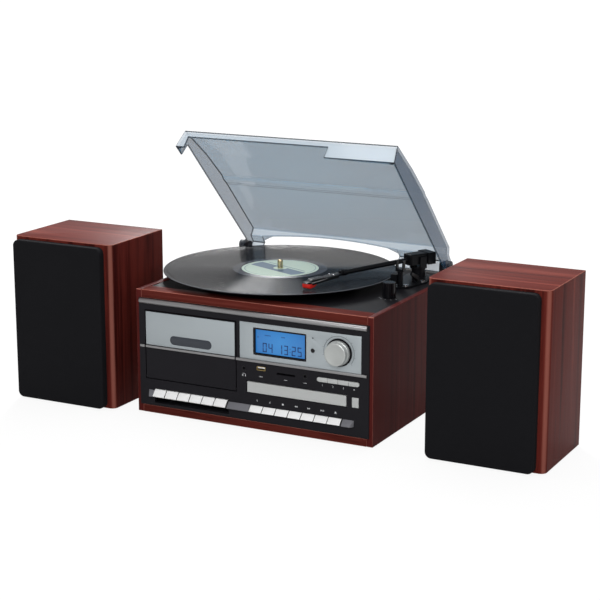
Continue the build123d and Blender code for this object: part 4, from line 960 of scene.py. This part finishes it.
# ---------------------------------------------------------------- sub-assemblies
@dataclass
class Cabinet:
    """The wooden box, its deck and its back."""

    edge: float = 0.6
    side_edge: float = 0.9
    joint: float = 157.0
    joint_reach: float = 1.2
    # The depth and height of the row of line sockets.
    line_sockets: Pair = (281.2, 120.0)

    def build(self) -> None:
        """Rounds all the boards' edges, marks the rounded faces for the wood's painted highlight but for
        those at the joints between boards, and dresses the rest.
        """
        sides = ("side_panel_left", "side_panel_right")
        for node in (*sides, "base_board", "front_top_rail"):
            finish, edge = (SIDE_WOOD, self.side_edge) if node in sides else (FRONT_WOOD, self.edge)
            board = Shape().of_node(node).soften(edge, 3, rim=0.9, clamp=False)
            # No painted highlight on the rounded faces at the joints between boards.
            marks = board.bm.faces.layers.float[PAINTED_EDGE_MARK]
            for face in board.bm.faces:
                if abs(abs(face.calc_center_median().x) - self.joint) < self.joint_reach:
                    face[marks] = 0.0
            board.piece(f"{node}_board", "wood", finish, [node])
        dress(DECK_BLACK, "deck_plate")
        dress(SATIN_BLACK, "back_panel", "rear_sockets", "hinge_brackets", "cd_loader")
        dress(RUBBER, "rubber_feet", "drive_belt")
        dress(BRIGHT, "screws")
        dress(STEEL, "transformer", "cassette_mechanism", "drive_motor")
        dress(BOARD_GREEN, "circuit_boards")
        back, z = self.line_sockets
        middles = Shape()
        for x, finish in ((120, CARTRIDGE_RED), (102, KEY_WHITE), (72, CARTRIDGE_RED), (54, KEY_WHITE)):
            ring = Shape().turned((-x, back, z), (0, 1, 0), tube(4.1, 4.3, -4.0, 2.0), 32, True)
            ring.piece(f"line_socket_ring_{x}", "black_plastic", finish)
            middles.turned((-x, back + 2.8, z), (0, 1, 0), tube(0.0, 1.4, 0.05, -0.5), 20)
        middles.piece("line_socket_middles", "chrome_trim", BRASS)


@dataclass
class Turntable:
    """The platter with its record, and the speed knob beside it."""

    record_top: float = 172.0
    record_radius: float = 150.8
    record_thickness: float = 1.8
    hole: float = 3.65
    label_hole: float = 3.72
    label_radius: float = 50.0
    label_thickness: float = 0.12
    knob: Pair = (136.8, 105.0)
    marks_radius: float = 12.0
    deck_top: float = 159.0

    def build(self) -> None:
        """Dresses the solids and lays the label on the record."""
        dress(PLATTER, "platter")
        dress(RUBBER, "slip_mat")
        dress(BRIGHT, "motor_pulley")
        rim = self.record_thickness / 2
        outer = [
            (self.record_radius - rim + rim * math.cos(a), rim * math.sin(a))
            for a in (math.radians(step) for step in range(90, -91, -15))
        ]
        face = [(self.hole, rim), (52.0, rim), (53.0, 0.75), (144.5, 0.75), (147.0, rim)]
        under = [(r, -h) for r, h in reversed(face)]
        profile = face + outer + under
        disc = Shape().turned((*RECORD_MIDDLE, self.record_top - rim), (0, 0, 1), profile, 256, True)
        disc.piece("record_disc", "vinyl", VINYL, ["record"], body="platter")
        hole, thick, radius = self.label_hole, self.label_thickness, self.label_radius
        profile = [(hole, 0.0), (hole, thick), (radius - 0.6, thick), (radius, 0.02), (radius, 0.0)]
        paper = Shape().turned((*RECORD_MIDDLE, self.record_top), (0, 0, 1), profile, 128, True)
        paper.piece("record_label", "vinyl", LABEL, body="platter")
        dress(GLOSS_BLACK, "speed_knob")
        marks = Shape()
        for angle in range(200, 341, 35):
            lean = math.radians(angle)
            x = self.knob[0] + self.marks_radius * math.cos(lean)
            y = self.knob[1] + self.marks_radius * math.sin(lean)
            low = (x - 1.3, y - 0.3, self.deck_top)
            marks.block(low, (x + 1.3, y + 0.3, self.deck_top + PRINT), turn=Matrix.Rotation(lean, 4, "Z"))
        marks.piece("speed_marks", "black_plastic", PRINT_WHITE)


@dataclass
class Arm:
    """The tonearm on its base, with the cartridge at its end."""

    shell_turn: float = 10.0
    shell_start: Point = (64.6, 120.5, 180.0)
    shell_length: float = 76.0
    stylus_at: float = 73.7
    record_at: float = 172.3

    def build(self) -> None:
        """Dresses the arm's solids and builds the headshell's parts, whose y runs to its front."""
        dress(ARM_BLACK, "arm_base", "arm_yoke", "tonearm", "cue_lever")
        turn = Matrix.Rotation(math.radians(180.0 - self.shell_turn), 4, "Z")
        place = Matrix.Translation(self.shell_start) @ turn
        tip = self.shell_length
        drop = self.record_at - self.shell_start[2]
        half = [(3.0, 2.0), (6.4, 14.0), (6.4, tip - 4.0), (3.6, tip - 0.1)]
        plate = [(-x, y, -1.0) for x, y in half] + [(x, y, -1.0) for x, y in reversed(half)]
        shell = Shape().outline(plate, (0.0, 0.0, 2.0), 0.5)
        collar = [(0.0, 0.1), (3.3, 0.1), (3.4, 4.0), (2.6, 5.0), (0.0, 5.0)]
        shell.turned((0.0, 0.0, 0.0), (0, 1, 0), collar, 32)
        ridge = [(30.0, 0.8), (42.0, 2.6), (tip - 12.0, 3.4), (tip - 4.0, 0.8)]
        shell.outline([(-4.6, *spot) for spot in ridge], (9.2, 0.0, 0.0), 0.5)
        for side in (-6.3, 6.3):
            shell.block((side - 0.4, 15.0, -2.6), (side + 0.4, tip - 6.0, -0.4), 0.2)
        shell.moved(place).piece("headshell_plate", "red_plastic", ARM_BLACK, ["headshell"], body="tonearm")
        side_view = [
            (tip - 0.6, -0.9), (tip - 0.4, drop + 2.4), (tip - 2.4, drop + 0.7),
            (tip - 12.0, drop + 1.4), (tip - 19.0, -2.0), (tip - 16.0, -0.9),
        ]
        wedge = Shape().outline([(-5.4, *spot) for spot in side_view], (10.8, 0.0, 0.0), 0.8, 3)
        wedge.moved(place).piece("cartridge", "red_plastic", CARTRIDGE_RED, body="tonearm")
        point = [(0.0, 0.0), (0.35, 0.9), (0.35, 2.4), (0.0, 2.4)]
        needle = Shape().turned((0.0, self.stylus_at, drop), (0, 0, 1), point, 12)
        needle.block((-0.3, tip - 10.0, drop + 1.6), (0.3, self.stylus_at + 0.1, drop + 2.1), 0.1)
        needle.moved(place).piece("stylus", "chrome_trim", BRIGHT, body="tonearm")
        trim = Shape()
        line = [(36.0, 1.2), (44.0, 2.9), (tip - 12.0, 3.6), (tip - 12.0, 2.9), (44.0, 2.2), (36.0, 0.8)]
        screw = [(0.0, 0.0), (1.6, 0.0), (1.6, 0.8), (1.1, 1.1), (0.0, 1.1)]
        for side in (-1.0, 1.0):
            # The bright strips along both side edges of the shell are a painted highlight; the curved lines
            # and the screws are bright trim.
            trim.block((side * 6.4 - 0.4, tip - 36.0, -0.5), (side * 6.4 + 0.4, tip - 4.5, 0.7), 0.2)
            trim.outline([(side * 4.8 - 0.25, *spot) for spot in line], (0.5, 0.0, 0.0))
            trim.turned((side * 3.2, 22.0, 1.0), (0, 0, 1), screw, 20)
        trim.block((-3.4, tip - 0.5, -0.6), (3.4, tip + 0.1, 0.6), 0.2)
        trim.moved(place).piece("headshell_screws_and_edge_highlights", "chrome_trim", BRIGHT, body="tonearm")


@dataclass
class Cover:
    """The smoked cover, with painted dark lines across it at its creases."""

    edge: float = 0.95
    # Each painted crease line's place behind the cover's front edge, its width and its strength.
    crease_shade_lines: tuple[Point, ...] = (
        (59.7, 0.5, 0.25), (112.0, 0.6, 0.4), (118.2, 0.6, 0.3), (128.9, 0.8, 1.0),
    )
    # The stretch near the hinge where the painted dark edge lines stay faint, and how strong they are
    # there.
    faint_edge_shade: Point = (228.0, 241.5, 0.12)
    faint_half_width: float = 138.0
    # The painted dark line along the front lip: its height, its width and its strength.
    lip: Point = (14.3, 1.5, 1.0)

    def build(self) -> None:
        """Rounds the cover's edges, marks them, its creases and its front lip for painted dark lines, and
        makes it see-through.
        """
        shape = Shape().of_node("dust_cover").soften(self.edge, 2, 0.5, 1.0, clamp=False)
        marks = shape.bm.faces.layers.float[PAINTED_EDGE_MARK]
        front = COVER_HINGE - COVER_BACK * COVER_REACH
        start, end, most = self.faint_edge_shade
        for face in shape.bm.faces:
            middle = face.calc_center_median()
            if start < (middle - front).dot(COVER_BACK) < end and abs(middle.x) < self.faint_half_width:
                face[marks] = min(face[marks], most)
        for back, width, strength in self.crease_shade_lines:
            shape.stripe(front + COVER_BACK * back, COVER_BACK, width, COVER_UP, strength)
        up, width, strength = self.lip
        shape.stripe(front + COVER_UP * up, COVER_UP, width, COVER_BACK, strength)
        shape.sharp = 0.1
        shape.piece("smoked_cover", "smoked_plastic", SMOKED, ["dust_cover"], body="dust_cover")


def rounded(sides: Sides, radius: float, y: float, steps: int = 6) -> list[Point]:
    """Works out an upright rectangle's outline with rounded corners.

    Args:
        sides: its sides.
        radius: its corners' radius.
        y: its depth.
        steps: the steps of each corner.

    Returns:
        The outline's points.
    """
    left, low, right, high = (side + sign * radius for side, sign in zip(sides, (1, 1, -1, -1)))
    corners = ((right, high, 0), (left, high, 90), (left, low, 180), (right, low, 270))
    return [
        (x + radius * math.cos(a), y, z + radius * math.sin(a))
        for x, z, start in corners for a in (math.radians(start + 90 * n / steps) for n in range(steps + 1))
    ]


@dataclass
class Front:
    """The front: door, display panel, sockets, buttons, keys and their marks."""

    face: float = -2.0
    plate: tuple[Point, Point] = ((-149.3, -2.95, 90.3), (-21.2, -2.75, 133.1))
    strip: tuple[Point, Point] = ((-149.7, -4.15, 86.5), (-20.8, -2.0, 89.6))
    window: Sides = (-114.2, 93.8, -53.8, 105.6)
    display: Sides = (4.9, 96.0, 77.4, 130.0)
    digits: str = "04 13:25"
    segment_face: float = -0.74
    eye: Pair = (86.2, 110.8)
    small_lens_rise: float = 15.5
    knob: Pair = (121.2, 112.8)
    dial_face: float = -2.6
    dial_start: float = -38.0
    dial_sweep: float = 256.0
    flat_socket: Pair = (15.3, 79.1)
    round_sockets: tuple[Pair, ...] = ((-8.5, 76.8), (75.6, 77.2))
    socket_marks: tuple[float, ...] = (15.3, 49.3, 75.6)
    numbers_from: Pair = (99.0, 69.3)
    number_pitch: float = 14.03
    deck_keys_from: float = 0.6
    deck_key_pitch: float = 17.86
    symbols_at: float = 37.6
    # For each deck key after the second: arrows as (place, way), and bars as (left, low, right, high).
    symbols: tuple[tuple[tuple[Pair, ...], tuple[Sides, ...]], ...] = (
        ((), ((-1.1, -1.1, 1.1, 1.1),)),
        (((0.2, -1.0), (2.2, -1.0)), ()),
        (((-2.2, 1.0), (-0.2, 1.0)), ()),
        (((-2.0, 1.0),), ((0.6, -1.1, 1.1, 1.1), (1.7, -1.1, 2.2, 1.1))),
        ((), ((-1.5, -1.3, 1.5, -0.8),)),
    )

    def build(self) -> None:
        """Builds and dresses everything on the front."""
        dress(SATIN_BLACK, "fascia", "front_sockets", "supply_hub", "takeup_hub")
        dress(GLOSS_BLACK, "lcd_module")
        dress(TRAY_SILVER, "cd_tray")
        for node, ending, slot, finish, edge in (
            ("bright_trim", "bars", "chrome_trim", BAR_METAL, 0.25),
            ("key_strip", "ends", "grey_plastic", STRIP_GREY, 0.3),
            ("display_panel", "plate", "silver_panel", SILVER, 0.25),
        ):
            Shape().of_node(node).soften(edge).piece(f"{node}_{ending}", slot, finish, [node])
        caps = [(f"tape_key_{n + 1}", "key_white", KEY_WHITE, 0.45, 3) for n in range(6)]
        caps += [(f"deck_key_{n + 1}", "key_white", KEY_WHITE, 0.45, 3) for n in range(7)]
        caps += [(f"function_button_{n + 1}", "silver_panel", TRAY_SILVER, 0.4, 3) for n in range(4)]
        caps.append(("tray_button", "silver_panel", TRAY_SILVER, 0.15, 2))
        for node, slot, finish, edge, segments in caps:
            Shape().of_node(node).soften(edge, segments).piece(f"{node}_cap", slot, finish, [node], node)
        self.build_door()
        self.build_screen()
        self.build_knob()
        self.build_sockets()
        self.build_marks()

    def build_door(self) -> None:
        """The cassette door: black moulding, silver plate, bright strip and window."""
        dress(SATIN_BLACK, "cassette_door")
        plate = Shape().block(*self.plate, 0.08)
        plate.piece("door_plate_face", "silver_panel", SILVER, body="cassette_door")
        strip = Shape().block(*self.strip, 0.5, 3)
        strip.piece("door_strip_face", "chrome_trim", BAR_METAL, body="cassette_door")
        window = Shape().outline(rounded(self.window, 5.8, -3.0, 8), (0.0, 1.8, 0.0), 0.25)
        window.piece("door_window", "black_plastic", WINDOW_GREY, body="cassette_door")

    def build_screen(self) -> None:
        """The lit screen with its segments, in its bezel, and the lenses beside it."""
        left, low, right, high = self.display
        glow = LitScreen("lit_screen", tuple(to_row((left + right) / 2, -0.7, (low + high) / 2)))
        glass = Shape().block((left + 2.5, -0.75, low + 2.5), (right - 2.0, -0.55, high - 2.0), 0.05)
        glass.piece("screen_glass", "display", glow)
        bezel = Shape().ring(
            rounded((left - 0.2, low - 0.2, right + 0.2, high + 0.2), 2.8, -2.66),
            rounded((left + 1.9, low + 1.6, right - 1.4, high - 1.4), 1.4, -2.66), (0.0, 1.8, 0.0),
        )
        bezel.piece("screen_bezel", "display", SATIN_BLACK)
        shape, y = Shape(), self.segment_face
        cursor = left + 12.0
        for symbol in self.digits:
            if symbol == ":":
                for up in (3.4, 7.2):
                    shape.printed(cursor - 0.1, low + 4.4 + up, cursor + 1.0, low + 5.5 + up, y)
            elif symbol != " ":
                self.segments(shape, int(symbol), cursor, low + 4.2)
            cursor += {":": 2.6, " ": 5.2}.get(symbol, 8.0)
        shape.outline([(left + 5.0, y, 117.3), (left + 5.0, y, 119.7), (left + 7.0, y, 118.5)])
        for start, bars in ((left + 15.0, 5), (left + 38.0, 3)):
            for bar in range(bars):
                shape.printed(start + bar * 1.7, 120.8, start + bar * 1.7 + 1.1, 122.2, y)
        shape.piece("screen_segments", "display", SEGMENT_INK)
        x, z = self.eye
        lens = [(0.0, 3.1), (1.4, 2.98), (2.5, 2.7), (3.0, 2.3), (3.0, 0.0), (0.0, 0.0)]
        small_lens = [(0.0, 2.75), (0.6, 2.65), (0.85, 2.3), (0.85, 0.5), (0.0, 0.5)]
        eye = Shape().turned((x, 0.0, z), (0, -1, 0), lens, 40)
        eye.turned((x, 0.0, z + self.small_lens_rise), (0, -1, 0), small_lens, 20)
        eye.piece("remote_eye", "display", GLOSS_BLACK)

    def segments(self, shape: Shape, digit: int, x: float, z: float) -> None:
        """Adds one seven-segment digit.

        Args:
            shape: the shape that takes it.
            digit: the digit, 0 to 9.
            x: its left side.
            z: its foot.
        """
        lit = "abcdef bc abged abgcd fgbc afgcd afgedc abc abcdefg abcdfg".split()[digit]
        wide, tall, thick = 5.8, 5.9, 1.45
        lying = {"a": 2 * tall - thick, "g": tall - thick / 2, "d": 0.0}
        upright = {"b": (wide - thick, tall), "c": (wide - thick, 0.0), "f": (0.0, tall), "e": (0.0, 0.0)}
        for name in lit:
            if name in lying:
                foot = z + lying[name]
                shape.printed(x + 0.5, foot, x + wide - 0.5, foot + thick, self.segment_face)
            else:
                side, foot = x + upright[name][0], z + upright[name][1]
                shape.printed(side, foot + 0.3, side + thick, foot + tall - 0.3, self.segment_face)

    def build_knob(self) -> None:
        """The volume knob, turned from one piece, and the dial marks around it."""
        x, z = self.knob
        profile = [
            (0.0, 14.35), (11.6, 14.35), (12.0, 14.6), (13.3, 14.6), (13.9, 14.2), (14.1, 13.6),
            (14.3, 8.6), (14.9, 8.2), (15.1, 7.6), (15.2, 3.6), (14.9, 3.05), (3.0, 3.05),
            (3.0, -7.6), (0.0, -7.6),
        ]
        knob = Shape().turned((x, 0.0, z), (0, -1, 0), profile, 96)
        knob.piece("volume_knob_turned", "silver_panel", KNOB_SILVER, ["volume_knob"], body="volume_knob")
        y, line = self.dial_face, tube(19.9, 20.35, 0.0, PRINT)
        arc = Shape().turned((x, y, z), (0, -1, 0), line, 72, True, self.dial_start, self.dial_sweep)
        for tick in range(11):
            lean = math.radians(self.dial_start + self.dial_sweep * tick / 10)
            side, up = x + 21.5 * math.cos(lean), z + 21.5 * math.sin(lean)
            # Marks that would run off the panel are left out.
            if up <= 134.0 and side <= 149.0:
                turn = Matrix.Rotation(-lean, 4, "Y")
                arc.printed(side - 0.7, up - 0.17, side + 0.7, up + 0.17, y, turn)
        arc.piece("volume_arc", "silver_panel", PRINT_DARK)

    def build_sockets(self) -> None:
        """The bright shell and pale tongue of the flat socket, and the rings of the round ones."""
        shell = Shape()
        x, z = self.flat_socket
        left, right, low, high = x - 5.9, x + 5.9, z - 2.4, z + 2.4
        for x0, z0, x1, z1 in (
            (left, low, right, low + 0.5), (left, high - 0.5, right, high),
            (left, low, left + 0.5, high), (right - 0.5, low, right, high),
        ):
            shell.block((x0, -2.15, z0), (x1, 6.0, z1), 0.1)
        shell.piece("flat_socket_shell", "chrome_trim", BRASS)
        tongue = Shape().block((left + 1.0, -1.2, z + 0.2), (right - 1.0, 15.0, z + 1.8), 0.2)
        tongue.piece("flat_socket_tongue", "black_plastic", KEY_WHITE)
        rings = Shape()
        lip = [(1.9, 2.3), (2.9, 2.3), (2.9, 2.38), (2.5, 2.5), (1.9, 2.4)]
        for x, z in self.round_sockets:
            rings.turned((x, 0.0, z), (0, -1, 0), lip, 40, True)
        rings.piece("round_socket_rings", "black_plastic", GLOSS_BLACK)

    def build_marks(self) -> None:
        """Plain numbers and symbols beside the sockets, buttons and keys."""
        marks, front = Shape(), self.face
        x, z = self.numbers_from
        for number in range(4):
            marks.words(str(number + 1), (x + self.number_pitch * number, front, z), 2.3)
        # A headband and its two ears.
        x = self.round_sockets[0][0]
        marks.turned((x, front, 68.4), (0, -1, 0), tube(1.7, 2.1, 0.0, PRINT), 24, True, 0.0, 180.0)
        for ear in (x - 1.9, x + 1.9):
            marks.printed(ear - 0.5, 66.6, ear + 0.5, 68.6, front)
        for x in self.socket_marks:
            marks.printed(x - 2.2, 68.6, x + 2.2, 69.1, front)
        z = self.symbols_at
        middles = [self.deck_keys_from + self.deck_key_pitch * (number + 0.5) for number in range(7)]
        for number, x in enumerate(middles[:2]):
            marks.words(str(number + 5), (x, front, z), 2.4)
        for x, (arrows, bars) in zip(middles[2:], self.symbols):
            for start, way in arrows:
                back, tip = x + start, x + start + 1.8 * way
                marks.outline([(back, front, z - 1.1), (back, front, z + 1.1), (tip, front, z)])
            for left, low, right, high in bars:
                marks.printed(x + left, z + low, x + right, z + high, front)
        x = middles[-1]
        marks.outline([(x - 1.5, front, z - 0.3), (x + 1.5, front, z - 0.3), (x, front, z + 1.4)])
        marks.piece("front_marks", "black_plastic", PRINT_WHITE)


@dataclass
class Speakers:
    """Both speakers, with cloth over their fronts."""

    edge: float = 0.7

    def build(self) -> None:
        """Rounds the boxes' edges, marked for the wood's painted highlight, and dresses cloth and cones."""
        for node in ("speaker_box_left", "speaker_box_right"):
            # The rounded faces are marked for the wood's painted highlight.
            case = Shape().of_node(node).soften(self.edge, 3, rim=0.7, clamp=False)
            case.piece(f"{node}_case", "wood", SPEAKER_WOOD, [node])
        dress(CLOTH, "speaker_grilles")
        dress(RUBBER, "woofers")


@dataclass(frozen=True)
class Lamp:
    """A soft rectangular lamp, in metres, watts and, for its roll about its beam, degrees."""

    name: str
    place: Point
    target: Point
    size: Pair
    power: float
    roll: float = 0.0

    def hang(self) -> None:
        """Adds the lamp to the scene."""
        light = bpy.data.lights.new(self.name, "AREA")
        light.shape, light.energy = "RECTANGLE", self.power
        light.size, light.size_y = self.size
        lamp = bpy.data.objects.new(self.name, light)
        lamp.location = self.place
        aim = (Vector(self.target) - Vector(self.place)).to_track_quat("-Z", "Y").to_matrix()
        lamp.rotation_euler = (aim @ Matrix.Rotation(math.radians(self.roll), 3, "Z")).to_euler()
        bpy.context.scene.collection.objects.link(lamp)


@dataclass
class Studio:
    """Camera, lamps, floor and the pale surroundings."""

    camera_at: Point = (959.2, -1713.6, 631.0)
    yaw: float = 27.485
    pitch: float = 13.406
    focal_pixels: float = 1663.12
    frame_pixels: float = 600.0
    sensor: float = 36.0
    sky: float = 0.3
    mirrored: float = 0.33
    floor_glow: float = 1.1
    floor_share: float = 0.82
    floor_fade: Pair = (0.6, 1.3)
    lamps: tuple[Lamp, ...] = (
        Lamp("overhead_softbox", (-0.1, 0.5, 2.1), (0.0, 0.0, 0.1), (1.9, 1.9), 40.0),
        Lamp("front_softbox", (0.7, -2.5, 1.5), (0.0, 0.0, 0.15), (1.3, 1.3), 46.0),
        Lamp("back_strip", (-0.929, 1.341, 1.27), (-0.053, 0.0065, 0.17), (0.26, 0.98), 30.0, -15.6),
        Lamp("side_softbox", (2.4, -0.5, 1.0), (0.0, 0.0, 0.1), (1.0, 1.0), 5.0),
    )

    def build(self) -> None:
        """Sets up the whole studio."""
        scene = bpy.context.scene
        scene.view_settings.view_transform = "Standard"
        lens = bpy.data.cameras.new("studio_camera")
        lens.sensor_width = self.sensor
        lens.lens = self.focal_pixels * self.sensor / self.frame_pixels
        lens.clip_end = 50.0
        camera = bpy.data.objects.new("studio_camera", lens)
        camera.location = to_row(*self.camera_at)
        camera.rotation_euler = (math.radians(90.0 - self.pitch), 0.0, math.radians(self.yaw))
        scene.collection.objects.link(camera)
        scene.camera = camera
        for lamp in self.lamps:
            lamp.hang()
        self.add_sky()
        self.add_floor()

    def seen(self, graph: Graph) -> Value:
        """Tells what is looked at from what gives light.

        Args:
            graph: the graph that takes the nodes.

        Returns:
            1 where the camera looks, straight or through glass, a share of 1 in gloss, and 0 for light.
        """
        path = graph.node("ShaderNodeLightPath")
        camera, mirrored, through = (
            Value(graph, path.outputs[f"Is {kind} Ray"]) for kind in ("Camera", "Glossy", "Transmission")
        )
        return graph.math("MINIMUM", camera + mirrored * self.mirrored + through, 1.0)

    def add_sky(self) -> None:
        """A soft grey surround that shows as white."""
        world = bpy.data.worlds.new("studio_surround")
        bpy.context.scene.world = world
        graph = Graph(world)
        soft, plain = (
            graph.node("ShaderNodeBackground", None, {0: (1.0, 1.0, 1.0, 1.0), 1: strength})
            for strength in (self.sky, 1.0)
        )
        graph.mixed("ShaderNodeOutputWorld", self.seen(graph), soft, plain)

    def add_floor(self) -> None:
        """A pale floor that keeps the set's soft shadow."""
        shape = bmesh.new()
        bmesh.ops.create_grid(shape, x_segments=1, y_segments=1, size=14.0)
        mesh = bpy.data.meshes.new("studio_floor")
        shape.to_mesh(mesh)
        shape.free()
        floor = bpy.data.objects.new("studio_floor", mesh)
        bpy.context.scene.collection.objects.link(floor)
        graph = Graph(bpy.data.materials.new("studio_floor_paint"))
        matt = graph.node("ShaderNodeBsdfDiffuse", None, {0: (0.5, 0.5, 0.5, 1.0)})
        white = graph.node("ShaderNodeEmission", None, {0: (1.0, 1.0, 1.0, 1.0), 1: self.floor_glow})
        wide, deep, _ = graph.axes(graph.mapped())
        away = graph.grade(wide.reach(deep), *self.floor_fade)
        share = self.seen(graph) * (self.floor_share + away * (1.0 - self.floor_share))
        graph.mixed("ShaderNodeOutputMaterial", share, matt, white)
        mesh.materials.append(graph.owner)


def main() -> None:
    """Builds the studio and the set."""
    for part in (Studio(), Cabinet(), Turntable(), Arm(), Cover(), Front(), Speakers()):
        LOG.info("building the %s", type(part).__name__.lower())
        part.build()


if __name__ == "__main__":
    main()
